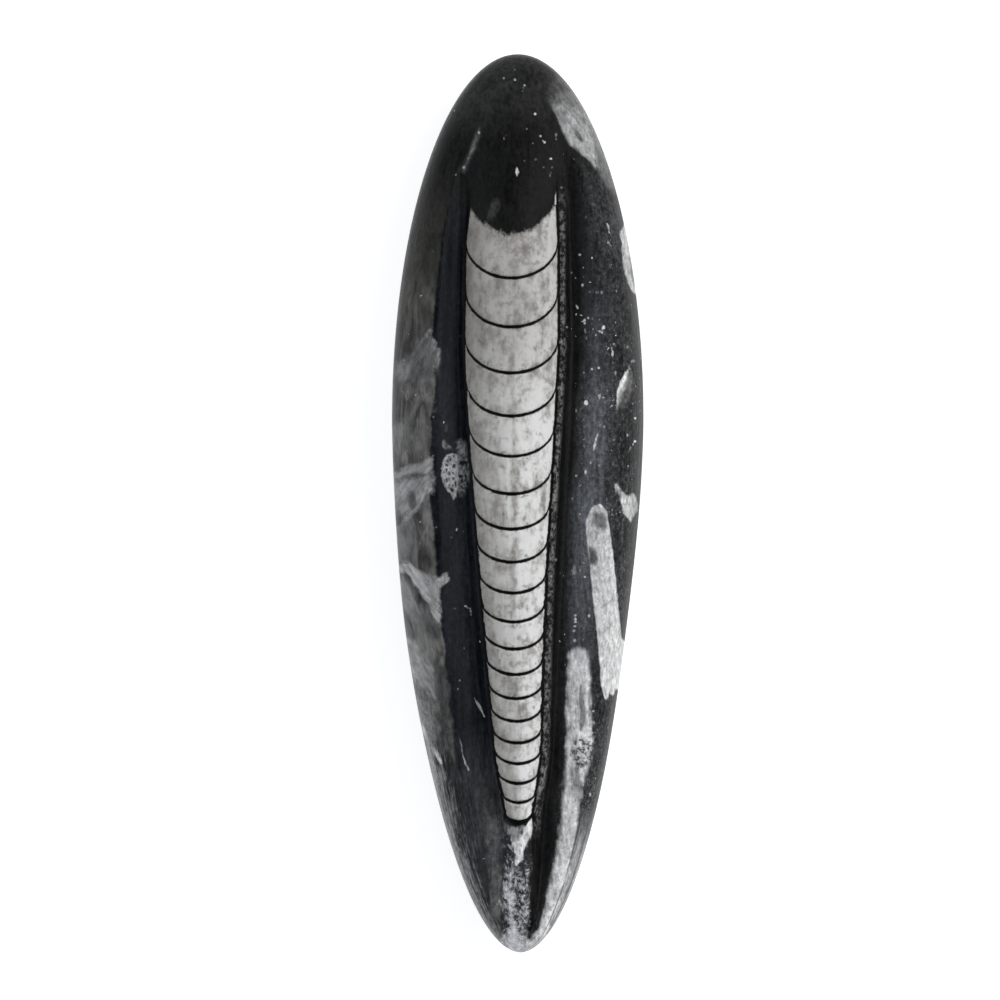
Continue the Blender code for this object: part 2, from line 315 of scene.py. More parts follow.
def polished(height):
    """The top after polishing: again and again each point in the troughs goes half-way to the line between
    its neighbours on the ring, so the shoulders and the bottoms of the troughs turn round."""
    reached = smooth((POLISHED_REACH - np.abs(station - POLISHED_ABOUT)) / POLISHED_FADE)
    reach = np.minimum(reached, smooth((np.abs(station - SPARED_ABOUT) - SPARED_REACH) / SPARED_FADE))
    x_before, x_after = np.roll(x, 1, axis=1), np.roll(x, -1, axis=1)
    share = (x - x_before) / np.where(below, 1, x_after - x_before)
    for _ in range(POLISHING):
        before, after = np.roll(height, 1, axis=1), np.roll(height, -1, axis=1)
        height = height + 0.5 * reach * (before + (after - before) * share - height)
    return height


UNEVEN, UNEVEN_LENGTH, ROUGH, ROUGH_LENGTH = 0.035, 9, 0.05, 0.8
on_ledge = bell(past_right, LEDGE_AT, LEDGE_WIDTH / 2, power=4) * ledge_length(y)
height = polished(top(y, across)) + foot_relief(y, past_left, past_right)
height -= np.where(on_shell, groove(to_wall, shell_sideways), 0)
height -= UNEVEN * (1 + ripples(x, y, UNEVEN_LENGTH, seed=3)) * (1 - np.abs(across) ** 6)
height += ROUGH * ripples(x, y, ROUGH_LENGTH, seed=5) * on_ledge
z = np.where(below, underside(y, across), np.minimum(height, CROWN_HEIGHT))

rings, around = x.shape
points = np.stack((x, y, z), axis=2).reshape(-1, 3)
ends = np.array([(centre_line(np.float64(end)), end, RIM_HEIGHT) for end in (HALF_LENGTH, -HALF_LENGTH)])
number = np.arange(rings * around).reshape(rings, around)
beside = np.roll(number, -1, axis=1)
sides = np.stack((number[:-1], number[1:], beside[1:], beside[:-1]), axis=2).reshape(-1, 4)
blunt_fan = np.stack((np.full(around, rings * around), number[0], beside[0]), axis=1)
point_fan = np.stack((number[-1], np.full(around, rings * around + 1), beside[-1]), axis=1)

skin = bpy.data.meshes.new("polished_fossil")
skin.from_pydata(np.vstack((points, ends)) * MM, [], sides.tolist() + blunt_fan.tolist() + point_fan.tolist())
skin.shade_smooth()
fossil = bpy.data.objects.new("polished_fossil", skin)
bpy.context.scene.collection.objects.link(fossil)
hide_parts("orthoceras_stone")
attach(fossil, "root")


def mark(name, field):
    """Keeps a number for each point of the skin, under a name that the finish reads. The two end points
    take their ring's mean."""
    field = np.broadcast_to(field, x.shape)
    values = np.concatenate((field.ravel(), (field[0].mean(), field[-1].mean()))).astype(np.float32)
    skin.attributes.new(name, "FLOAT", "POINT").data.foreach_set("value", values)


# ---------------------------------------------------------------------------------------------------------
# The black limestone. Fine lime mud, black with bitumen: near-black and glossy where it was polished, a
# brownish or bluish grey where the polish is worn. The polishing left faint streaks that run lengthwise.
stone = bpy.data.materials.new("polished_black_limestone")
stone.use_nodes = True
shader = stone.node_tree.nodes["Principled BSDF"]
skin.materials.append(stone)


def feed(socket, value):
    """Gives an input its value: another node's output, the name of a number kept on the skin, or a number."""
    if isinstance(value, str):
        value = add("ShaderNodeAttribute", {}, attribute_name=value).outputs["Fac"]
    if isinstance(value, bpy.types.NodeSocket):
        stone.node_tree.links.new(value, socket)
    else:
        socket.default_value = (*value, 1) if socket.type == "RGBA" else value


def add(kind, inputs, **settings):
    """A node of the stone's finish, with its settings made and its inputs fed."""
    made = stone.node_tree.nodes.new(kind)
    for name, value in settings.items():
        setattr(made, name, value)
    for socket, value in inputs.items():
        feed(made.inputs[socket], value)
    return made


def folded(operation, values):
    """Numbers, names and sockets put together one after another by one operation."""
    total = values[0]
    for value in values[1:]:
        total = add("ShaderNodeMath", {0: total, 1: value}, operation=operation).outputs[0]
    return total


def sum_of(*values):
    """Everything added up."""
    return folded("ADD", values)


def product(*values):
    """Everything multiplied."""
    return folded("MULTIPLY", values)


def more_of(*values):
    """The largest of them."""
    return folded("MAXIMUM", values)


def mixed(*parts):
    """A sum of values, each times its share."""
    return sum_of(*(product(value, share) for value, share in parts))


def swing(noise, reach):
    """A noise from 0 to 1 turned to one about 0, times a reach."""
    return product(sum_of(noise, -0.5), reach)


def off(value, middle):
    """How far a value is from a middle, to either side."""
    return add("ShaderNodeMath", {0: sum_of(value, -middle)}, operation="ABSOLUTE").outputs[0]


def between(value, start, end, low=0, high=1):
    """An S from low to high as the value goes from start to end, level beyond them."""
    inputs = {"Value": value, "From Min": start, "From Max": end, "To Min": low, "To Max": high}
    if start > end:
        inputs.update({"From Min": end, "From Max": start, "To Min": high, "To Max": low})
    return add("ShaderNodeMapRange", inputs, interpolation_type="SMOOTHSTEP").outputs[0]


place = add("ShaderNodeTexCoord", {}).outputs["Object"]


def pair(right, up):
    """Two values as a place on a plane."""
    return add("ShaderNodeCombineXYZ", {0: right, 1: up}).outputs[0]


def stretched(across, along, turn=0):
    """The place, scaled per metre and turned: the smaller the scale, the further it draws a pattern out."""
    inputs = {"Vector": place, "Scale": (across, along, across), "Rotation": (0, 0, turn)}
    return add("ShaderNodeMapping", inputs).outputs[0]


def clouds(scale, detail=4, roughness=0.55, distortion=0, where=None):
    """Fractal noise from 0 to 1, the scale per metre of the stone or per unit of where."""
    inputs = {"Vector": place if where is None else where, "Scale": scale, "Detail": detail}
    return add("ShaderNodeTexNoise", inputs | {"Roughness": roughness, "Distortion": distortion}).outputs[0]


def streaky(across, along, turn=0, **kind):
    """Fractal noise drawn out along the stone."""
    return clouds(1, where=stretched(across, along, turn), **kind)


def lay(under, over, share):
    """One colour laid over another by a share from 0 to 1."""
    made = add("ShaderNodeMix", {}, data_type="RGBA", clamp_factor=True)
    colour_inputs = [socket for socket in made.inputs if socket.type == "RGBA"]
    for socket, value in zip((made.inputs[0], *colour_inputs), (share, under, over)):
        feed(socket, value)
    return next(socket for socket in made.outputs if socket.type == "RGBA")


def lay_value(under, over, share):
    """One number laid over another by a share from 0 to 1."""
    return sum_of(under, product(share, sum_of(over, product(under, -1))))


def scaled(vector, strength):
    """A colour or a vector times a strength."""
    return add("ShaderNodeVectorMath", {0: vector, "Scale": strength}, operation="SCALE").outputs[0]


def moved(vector, offset):
    """A vector moved by another."""
    return add("ShaderNodeVectorMath", {0: vector, 1: offset}, operation="ADD").outputs[0]


def cells_of(vector, scale, **settings):
    """The outputs of a random mesh of cells, the scale per unit of the vector."""
    return add("ShaderNodeTexVoronoi", {"Vector": vector, "Scale": scale}, **settings).outputs


DEEP_BLACK, WORN_BLACK = (0.0025, 0.0026, 0.0027), (0.0120, 0.0120, 0.0118)
DOME_GREY = (0.038, 0.038, 0.0385)
TROUGH_BLACK, TROUGH_BLUE = (0.0025, 0.0030, 0.0044), (0.0165, 0.0198, 0.0262)
SAND_GREY = (0.16, 0.165, 0.175)
RIGHT_TROUGH_DUST_AND_LIGHT = (0.158, 0.168, 0.188)
LEFT_FLANK_DARK, LEFT_FLANK_PALE = (0.024, 0.0235, 0.0218), (0.155, 0.152, 0.147)
RIGHT_FLANK_DARK, RIGHT_FLANK_PALE = (0.008, 0.0085, 0.009), (0.058, 0.059, 0.061)
OLIVE, LEFT_VEIN = (0.028, 0.028, 0.0225), (0.23, 0.225, 0.215)
STREAK_GREY, STREAK_PALE = (0.25, 0.25, 0.255), (0.36, 0.36, 0.37)
TIP_GREY = (0.050, 0.051, 0.054)

FLANK_NOTCH, NOTCH_AT, NOTCH_LENGTH = 0.45, -1, 8
FLANK_BULGES = ((0.60, 20, 3.2), (0.55, -9, 3.2), (0.45, -24.5, 4))
notch = FLANK_NOTCH * bell(y, NOTCH_AT, NOTCH_LENGTH)
for bulge, bulge_at, bulge_length in FLANK_BULGES:
    notch -= bulge * bell(y, bulge_at, bulge_length)
mark("along", y)
mark("past_left", past_left)
mark("past_right", past_right)
mark("left_flank", (LEFT_SHOULDER - across) * half_width - notch)
mark("right_flank", (across - RIGHT_SHOULDER) * half_width)
mark("carved", carving(y))
mark("flow", across * HALF_WIDTH)
mark("from_rim", (1 - np.abs(across)) * half_width)
mark("ring", y_middle)
mark("sideways", shell_sideways)

# The noises that several layers share.
streaks = streaky(1500, 70, detail=5, roughness=0.6)
hairlines = streaky(1700, 150, 0.05, detail=4, roughness=0.62)
blotches = clouds(75, detail=6, roughness=0.6)
wisps = streaky(380, 140, 0.5, detail=5, roughness=0.52, distortion=0.8)
fine = streaky(1700, 1150, detail=3, roughness=0.65)
flowing = clouds(1, detail=6, roughness=0.68, where=pair(product("flow", 1.5), product("along", 0.17)))
worn = mixed((streaks, 0.25), (hairlines, 0.25), (blotches, 0.25), (fine, 0.25))

# Black, worn to a brownish black, and greyer over the blunt end.
colour = lay(DEEP_BLACK, WORN_BLACK, between(worn, 0.34, 0.68))
# The grey over the blunt end, in blotches and a few streaks.
blunt_end_grey = between(mixed((blotches, 0.75), (streaks, 0.25)), 0.24, 0.62)
blunt_end_grey = product(between("along", 60, 70), blunt_end_grey)
colour = lay(colour, DOME_GREY, blunt_end_grey)

# The troughs: a little blue in the left one, and a blue grey in the right one, partly dust and partly painted
# light.
left_edge = sum_of("left_flank", swing(fine, 0.5), swing(blotches, 2.2))
left_edge = product(left_edge, between("along", -62, -40, 0.12, 1))
in_left_trough = product(between(left_edge, 0.25, -0.25), between("past_left", -0.1, 0.3), "carved")
in_left_trough = product(in_left_trough, between("along", 57, 46))
slate = mixed((worn, 0.7), (streaky(330, 40, detail=4), 0.3))
colour = lay(colour, lay(TROUGH_BLACK, TROUGH_BLUE, between(slate, 0.40, 0.64)), in_left_trough)
sand = mixed((clouds(3200, detail=2, roughness=0.7), 0.6), (fine, 0.4))
lit_place = sum_of("past_right", between("along", -6, 12, 0, -0.7))
in_right_trough = product(between(lit_place, 2.4, 6.5), between("right_flank", 4.5, -2.5))
right_dust_and_light = sum_of(worn, product(sand, 0.35), product(slate, 0.65))
right_dust_and_light = product(in_right_trough, "carved", between(right_dust_and_light, 0.76, 1.18, 0.30, 1))
# Strongest about the stone's middle: painted light that brightens the right trough's slope, which the lamps
# barely reach.
right_dust_and_light = product(right_dust_and_light, between("along", 50, 2, 0.20, 1), between("along", -50, 0, 0.15, 1))
colour = lay(colour, RIGHT_TROUGH_DUST_AND_LIGHT, right_dust_and_light)

# The left flank: grey with paler veins, and olive towards the blunt end.
flank_tone = mixed((wisps, 0.6), (blotches, 0.34), (streaks, 0.04), (fine, 0.02))
left_flank = product(between(left_edge, -0.25, 0.25), between("along", 60, 30))
left_colour = lay(LEFT_FLANK_DARK, LEFT_FLANK_PALE, between(flank_tone, 0.38, 0.62))
drawn_out = streaky(210, 55, 0.62, detail=3, roughness=0.5, distortion=0.5)
veins = product(between(off(drawn_out, 0.5), 0.012, 0), between(blotches, 0.42, 0.62), 0.7)
left_colour = lay(left_colour, LEFT_VEIN, veins)
left_colour = lay(left_colour, OLIVE, between("along", 26, 40, 0, 0.75))
calm = product(left_flank, between("along", -38, -26))
left_reach = between(sum_of("along", swing(flowing, 14)), -46, -38, 0.10, 1)
colour = lay(colour, left_colour, product(left_flank, left_reach))

# Grey streaks towards the point, left of the shell and along the left rim; then the darker right flank with
# paler streaks at its rim.
left_streaks = product(between("along", -36, -48), between("flow", -1, -4))
colour = lay(colour, TIP_GREY, product(left_streaks, between(flowing, 0.36, 0.62, 0.1, 0.75)))
near_point = between("along", -29, -40)
rim_streaks = sum_of(product(flowing, 4), product("from_rim", -0.34), swing(fine, 1.2))
rim_streaks = product(near_point, between(rim_streaks, 0.95, 2.25), between("flow", 12, 8))
colour = lay(colour, STREAK_GREY, rim_streaks)
right_flank = product(between("right_flank", -3.5, 2), between("along", 62, 48))
right_tone = mixed((flank_tone, 0.35), (sand, 0.35), (fine, 0.30))
right_colour = lay(RIGHT_FLANK_DARK, RIGHT_FLANK_PALE, between(right_tone, 0.40, 0.62))
colour = lay(colour, right_colour, right_flank)
right_streaks = product(between("along", -49, -61), between("flow", 13.6, 15.4))
colour = lay(colour, STREAK_PALE, product(right_streaks, between(flowing, 0.34, 0.58, 0.25, 1)))

# Sandy specks over the right side, fewer towards the blunt end, and a painted shade along the rim, where it
# turns from the light.
sanded = between(sum_of(sand, swing(blotches, 0.35)), 0.54, 0.66)
sanded = product(between("past_right", 3, 6.5), between("past_right", 20.9, 20), sanded)
colour = lay(colour, SAND_GREY, product(sanded, between("along", 36, 16, 0.2, 0.75)))

# The painted rim shade darkens the last few millimetres to the rim, but not towards the point.
RIM_REACH, RIM_DARK = 2.2, 0.36
painted_rim_shade = between("from_rim", 0, RIM_REACH, RIM_DARK, 1)
colour = scaled(colour, lay_value(1, painted_rim_shade, between("along", -30, -14)))

# ---------------------------------------------------------------------------------------------------------
# The scraps. Broken shells that lay in the same mud, turned to white and grey calcite and ground off level
# with the stone, so they are only colour. Most run lengthwise down the flanks; their grain shows as streaks.
SCRAP_WHITE = (1, 1, 1.01)

# Each row says how softly its edge fades, how pale it is, how its grain leans, towards where and by how much
# it darkens, and last its outline in the plan of the stone, carried on down the side past the rim. What is
# left out is 0. The angles are in degrees, the grain's from the stone's length and the other from the right.
SCRAPS = (
    # the blunt end, right and left
    (1, 0.115, 35, 130, 0.45, ((5.2, 69.6), (5.6, 66.6), (6.6, 65), (9.4, 64.6), (12, 62.6), (14.6, 63.4),
     (9.7, 70.6), (6.6, 71.6))),
    (1, 0.17, 35, 110, 0.25, ((5.8, 66.9), (6.6, 65), (9, 64.2), (12.3, 62), (13.4, 63.2), (10.6, 67.2),
     (8, 68.4))),
    (0.7, 0.2, 32, 295, 0.66, ((9.3, 64.9), (11.6, 61), (12.3, 58), (13.3, 56.2), (14, 54.6), (15.1, 52.6),
     (17.4, 50.6), (18, 55), (15.4, 62.4), (12.2, 66))),
    (0.8, 0.24, 35, ((6.2, 65.8), (6.9, 64.2), (9, 62.6), (11.6, 62), (11.4, 64.2), (9.6, 65.8),
     (7.6, 66.4))),
    (0.42, 0.31, 35, ((6.6, 64.3), (7.9, 61.2), (8.8, 59.8), (10.4, 58.5), (12.2, 56.9), (13.1, 56),
     (13, 58.2), (12.2, 60.8), (11, 62.9), (9.8, 63.4), (8.8, 64.6), (7.8, 64), (7.1, 65))),
    (0.3, 0.1, 35, ((9.5, 62.4), (10.2, 61.7), (10.8, 60.6), (10.5, 60.4), (9.9, 61.2))),
    (0.8, 0.085, -22, ((-6.3, 62.4), (-6.7, 62), (-8, 58.8), (-9.5, 55.6), (-8.9, 55.2), (-7.8, 57.8),
     (-6.6, 60.6))),
    (0.3, 0.16, -22, ((-7, 61.2), (-7.6, 59.6), (-8.1, 58.2), (-7.9, 58.1), (-7.2, 59.6))),
    (0.15, 0.62, ((-0.1, 56.3), (-0.45, 55.4), (-0.1, 54.5), (0.25, 55.3))),
    (0.14, 0.5, ((6.45, 52.5), (6.2, 51.6), (6.1, 49.6), (6.5, 49.8), (6.7, 51.4))),
    (0.7, 0.042, 40, ((-5.2, 47.2), (-4.7, 49.2), (-3.9, 50.6), (-2.9, 50.8), (-3.3, 49.4), (-4.1, 47.8))),
    # the right rim
    (0.22, 0.42, 10, 0, 0.2, ((17.7, 46.8), (17.3, 45.6), (17.3, 43), (17.5, 41), (17.7, 39.6), (18.2, 37.8),
     (18.7, 36.4), (19.2, 35), (19.9, 34.4), (20.4, 37), (19.6, 41), (18.6, 46.6))),
    (0.25, 0.16, 10, ((18.5, 41), (18.7, 41), (19.4, 37.4), (19.3, 36.9), (18.9, 38.6))),
    (0.25, 0.68, -15, 300, 0.3, ((17.8, 21.9), (18.9, 22.3), (18.7, 21), (18.3, 19.8), (17.7, 18.7),
     (17.3, 16.8), (16.7, 15.6), (16.6, 17.4), (16.9, 19.8), (17.3, 21))),
    (0.9, 0.1, -15, ((18.7, 21.6), (19.2, 20.6), (18.9, 18.6), (17.9, 16.6), (17, 15.4), (17.2, 16.8),
     (18, 19))),
    (0.3, 0.3, -35, ((18.6, 22.8), (19.6, 23.8), (19.9, 23.9), (19.4, 22.9))),
    (0.35, 0.48, 10, ((15.8, 2.4), (16.6, 3.3), (17.3, 1.9), (17, 1.2))),
    (0.3, 0.56, 15, 0, 0.55, ((17.3, 1.9), (19.6, 1.4), (20, -1.2), (18.8, -3.2), (17.7, -1.8),
     (17.2, 0.6))),
    # the two long bands of the right flank
    (0.2, 0.56, 8, ((12, -1.2), (12.8, -0.2), (13.8, 0), (14.9, -1.4), (15.9, -8), (16.3, -12.5),
     (16.9, -18.5), (17.3, -22.6), (19.5, -24), (20, -28), (17.8, -31.2), (16.2, -31), (15.9, -32.4),
     (15.2, -31.4), (14.7, -33), (14.2, -31.2), (13.9, -30.5), (13.5, -24.1), (12.9, -19), (12.1, -10.9),
     (11.3, -3.4))),
    (0.16, 0.36, ((13.9, -17.3), (15, -16.5), (16.8, -15.5), (16.9, -15.7), (15.2, -16.8), (14, -17.5))),
    (0.2, 0.4, ((14.4, -21.2), (15.8, -19.8), (15.9, -20), (14.6, -21.4))),
    (0.7, 0.18, ((12.9, -1.6), (14.3, -2), (14.6, -3.8), (13.6, -4.2), (12.8, -3.2))),
    (0.2, 0.19, ((9.15, -11.9), (9.3, -10.6), (9.45, -10), (9.75, -10.6), (9.8, -11.6), (9.6, -12),
     (9.4, -11.6))),
    (0.2, 0.125, ((9.5, -11.8), (9.62, -13.2), (9.72, -14.8), (9.85, -16.3), (10.05, -17.3), (10.2, -17.2),
     (10.05, -15.6), (9.92, -13.6), (9.8, -11.8))),
    (0.4, 0.1, ((12.1, -7.4), (12.8, -7.8), (13.2, -9.4), (12.8, -10.3), (12.2, -10))),
    (0.66, 0.6, 3, ((8.6, -25.2), (9.1, -24.4), (10.2, -24), (11.3, -24.4), (11.9, -26.4), (12.2, -35),
     (12.5, -40.2), (12, -43.4), (11, -46.4), (10.2, -50), (9.8, -54.4), (8.9, -60), (7.9, -64.4),
     (6.7, -67.4), (4.9, -71.8), (2, -75.4), (-1.4, -75.4), (-1, -73.9), (1, -73.7), (2.3, -73),
     (3.3, -71.7), (4.4, -68.1), (6.1, -60), (7.35, -53), (7.5, -49), (7.9, -44), (8.2, -40), (8.2, -35),
     (8.5, -27.5))),
    (0.28, 0.2, 3, ((10.5, -30.4), (10.8, -31.6), (11.2, -34), (11.3, -36), (10.9, -37.2), (10.4, -37.8),
     (10.6, -36.2), (10.3, -33.6))),
    (0.55, 0.34, ((9.2, -44.2), (10.2, -44.6), (10.6, -47), (10.2, -49.4), (9.3, -49.2))),
    # the left flank, from the blunt end down
    (0.6, 0.2, -20, 220, 0.5, ((-14.5, 27.4), (-14, 27.2), (-13.2, 25.6), (-13, 24), (-13.3, 22.6),
     (-14.2, 22), (-14.9, 23.2), (-15, 25.4))),
    (0.3, 0.17, -30, 240, 0.4, ((-14.6, 29.4), (-14.2, 28.9), (-17.2, 24.7), (-17.6, 25.1))),
    (1.5, 0.115, -30, 240, 0.4, ((-14.6, 26.6), (-14, 21.8), (-15.4, 20.4), (-19, 20), (-23.4, 20.6),
     (-19.4, 23.4), (-16.8, 25.2))),
    (0.9, 0.16, ((-20.2, 23.4), (-18.6, 23), (-18.4, 21.4), (-19.8, 20.8))),
    (1, 0.16, -60, 240, 0.5, ((-14.6, 18.6), (-13.9, 17.4), (-14.1, 15.2), (-15, 15.4), (-15.4, 17))),
    (1.2, 0.135, ((-22.4, 13.2), (-18.8, 13.6), (-18.4, 11), (-19.4, 8.8), (-21.4, 8.6), (-23.6, 10.6))),
    (0.5, 0.29, -55, 200, 0.5, ((-14.3, 7.9), (-14.3, 4.6), (-15.4, 5.2), (-22, 4.2), (-25.2, 3), (-24, 5),
     (-19.9, 5.5), (-16.5, 6.9))),
    (0.22, 0.36, -38, 240, 0.1, ((-14.4, 4.2), (-14.5, 3.2), (-16.4, 0.2), (-19.4, -4), (-19.8, -4.2),
     (-18, -1.2), (-15.6, 2.4))),
    (0.9, 0.33, -35, 330, 0.45, ((-22, 4.2), (-18.2, 3.8), (-14.3, 4.9), (-14.4, 1.8), (-15.6, 1.8),
     (-17, -0.6), (-19, -1.6), (-22, -1), (-24, 0.4), (-24.8, 2.2))),
    (0.45, 0.31, -38, 240, 0.2, ((-14.4, 3), (-15.9, 0.4), (-19, -4), (-23, -8.8), (-21.6, -5),
     (-18.9, -2.6), (-16.6, 1.2))),
    (0.45, 0.1, -20, ((-17.9, 1.7), (-17.4, 1.8), (-17.2, 0.2), (-17.6, -0.9), (-18.1, -0.6))),
    (0.8, 0.16, 20, 0, 0.2, ((-19.6, -3.6), (-19.2, -3.2), (-17.9, -6.8), (-18.6, -9), (-22, -9.8),
     (-23.6, -7.4), (-22.2, -5))),
    (0.5, 0.25, 38, ((-24.6, -8.6), (-22, -9.6), (-19.3, -9.9), (-17, -10.9), (-14.6, -12.3), (-13.4, -13),
     (-13, -15), (-12.95, -19.8), (-14.1, -18.9), (-15.7, -15.6), (-17.8, -12.6), (-19.8, -11), (-22, -10.9),
     (-25.4, -9.8))),
    (0.4, 0.37, 38, ((-19.8, -9.9), (-18.2, -10.5), (-16.6, -12.1), (-15, -14.8), (-13.7, -17.2),
     (-13.1, -18.2), (-12.95, -19.6), (-13.6, -19.3), (-14.7, -17.6), (-16.3, -14.8), (-17.7, -12.6),
     (-19.4, -10.7))),
    (1, 0.27, 25, 300, 0.5, ((-20.6, -10.9), (-17.8, -14.4), (-15.9, -18.4), (-17, -20.6), (-19.6, -17),
     (-23.6, -13.8))),
    (1.1, 0.065, 25, ((-15.6, -19.2), (-14.2, -19.9), (-13, -20.6), (-12.9, -23.4), (-14.4, -22.9),
     (-15.6, -21.4))),
    (0.35, 0.3, -60, ((-13.9, -12.3), (-13, -12.2), (-11.7, -11.4), (-11.4, -12.9), (-12.6, -13.7),
     (-13.7, -13.4))),
    (1.2, 0.27, 35, 300, 0.2, ((-19.5, -22), (-16.6, -23.2), (-14.2, -28), (-12.9, -33), (-14.4, -32.6),
     (-18.2, -28.2))),
    (1.3, 0.21, 30, 300, 0.3, ((-18, -32), (-15.7, -33.6), (-13.6, -38.6), (-14.6, -40.2), (-17.2, -38))),
    (0.3, 0.66, 28, 100, 0.3, ((-14.2, -40.6), (-13.7, -41.2), (-12.5, -43.7), (-12.8, -43.9),
     (-13.6, -42.6))),
    (0.3, 0.34, 28, ((-16.1, -37.4), (-15.8, -37.5), (-14.4, -41.2), (-14.7, -41.4))),
    (0.4, 0.26, 24, ((-16.8, -39.4), (-16.4, -39.4), (-15.2, -43.6), (-15.6, -43.8))),
    (0.7, 0.058, 10, ((-13.7, -26.6), (-12, -27.4), (-11.3, -34), (-10.9, -41.4), (-12.8, -41),
     (-13.2, -34))),
    # the left trough
    (0.3, 0.2, 10, ((-12.6, 10.4), (-12.2, 10.9), (-11.9, 10.2), (-12.1, 9.4), (-12.5, 9.4))),
    (0.2, 0.13, 60, ((-12, 9.4), (-11.4, 9.5), (-10.7, 9.1), (-10.3, 8.6), (-10.8, 8.8), (-11.5, 9.2))),
    (0.3, 0.062, 10, ((-12.4, 13.1), (-11.9, 13.3), (-11.6, 12.3), (-12.1, 12))),
    (0.2, 0.004, ((-12.4, 8.75), (-10.9, 8.85), (-10.7, 8.55), (-12.2, 8.4))),
    (0.1, 0.5, 40, 100, 0.6, ((-7.4, -32.2), (-6.2, -33.8), (-5.5, -35.4), (-5.7, -35.5), (-6.4, -34.2))),
    (0.12, 0.42, 16, 90, 0.6, ((-9.8, -38.8), (-9.2, -41), (-8.5, -43.9), (-8, -44.7), (-8.2, -44.9),
     (-8.8, -44), (-9.4, -41.2))),
    # the last pale piece past the last wall
    (0.5, 0.1, ((-2.4, -52.8), (-1.5, -53.9), (-0.9, -55.2), (-1.2, -56), (-2.2, -55.4))),
    (0.5, 0.24, ((-1.6, -54), (-0.3, -54.2), (0.9, -53.8), (0.6, -56), (-0.4, -56.6), (-1.2, -56.4))),
    (0.24, 0.62, ((2.3, -52.5), (2.4, -54.4), (2.1, -56), (1.3, -57.2), (1.05, -58.3), (1, -59.7),
     (0.2, -60.5), (-0.6, -60.6), (-0.45, -58.6), (-0.8, -57.6), (-1.1, -56.4), (-0.5, -56.5), (0.2, -56.2),
     (0.8, -55.4), (1, -54.3), (1.5, -53.4))),
    (0.16, 0.3, 80, ((-3, -57.3), (-3, -57), (-1.6, -57), (-0.7, -57.4), (-0.8, -57.8), (-1.8, -57.3))),
    # the faint streaks left of the ridge
    (1.3, 0.046, 4, ((-6.5, -48.2), (-4.5, -47.5), (-3.3, -51.5), (-3, -54.5), (-4.3, -58.2),
     (-5.6, -56.2))),
    (0.9, 0.105, -2, ((-4.6, -53), (-3, -52.6), (-2.5, -59.5), (-2.6, -66.2), (-3.2, -69.9), (-4.1, -68.7),
     (-4.5, -62.9), (-4.8, -57.9))),
)


def depth_inside(px, py, outline):
    """How deep points lie inside a closed outline: the distance to its nearest side, negative outside it."""
    nearest, crossings = np.full(px.shape, np.inf), np.zeros(px.shape, int)
    for (x0, y0), (x1, y1) in zip(outline, outline[1:] + outline[:1]):
        side_x, side_y = x1 - x0, y1 - y0
        share = np.clip(((px - x0) * side_x + (py - y0) * side_y) / (side_x**2 + side_y**2), 0, 1)
        nearest = np.minimum(nearest, np.hypot(px - x0 - share * side_x, py - y0 - share * side_y))
        leftwards = (side_x * (py - y0) - (px - x0) * side_y) * np.sign(side_y) > 0
        crossings += ((y0 > py) != (y1 > py)) & leftwards
    return np.where(crossings % 2 == 1, nearest, -nearest)


def unrolled():
    """The plan carried on past the rims: x grows by the distance along the skin, down each side and under."""
    steps = np.hypot(np.diff(x, axis=1, append=x[:, :1]), np.diff(z, axis=1, append=z[:, :1]))
    rim = int(np.searchsorted(station, RIGHT_RIM))
    middle = int(np.searchsorted(station, (BASE_RIGHT + BASE_LEFT) / 2))
    spread = x.copy()
    spread[:, rim + 1 : middle] = x[:, rim : rim + 1] + np.cumsum(steps[:, rim : middle - 1], axis=1)
    spread[:, middle:] = x[:, :1] - np.cumsum(steps[:, :middle - 1 : -1], axis=1)[:, ::-1]
    return spread


def turned(px, py, degrees):
    """The place measured along two axes turned by an angle: rightwards then upwards before the turn."""
    cos, sin = math.cos(math.radians(degrees)), math.sin(math.radians(degrees))
    return px * cos + py * sin, py * cos - px * sin


# The outlines waver by two ripples each way, each a height, a length and a seed. They are steadier over the
# blunt end and along the first long band.
STEADY_FROM, STEADY_FADE, STEADY_WAVER = 48, 6, 0.25
BAND_LEFT, BAND_TOP, BAND_BOTTOM, BAND_STEADINESS = 10, 1, -33, 0.65
LEFT_FADE, TOP_FADE, BOTTOM_FADE = 1.5, 2, 3
WAVERS_ACROSS = ((0.10, 3.6, 11), (0.06, 1.4, 12))
WAVERS_ALONG = ((0.22, 4.2, 13), (0.12, 1.6, 14))

# A depth outside every outline, and a distance far from everything.
NOWHERE, FAR = -9.0, 99.0


def waver(waves):
    """Ripples added up, each times its height."""
    return unsteady * sum(height * ripples(plan_x, y, length, seed) for height, length, seed in waves)


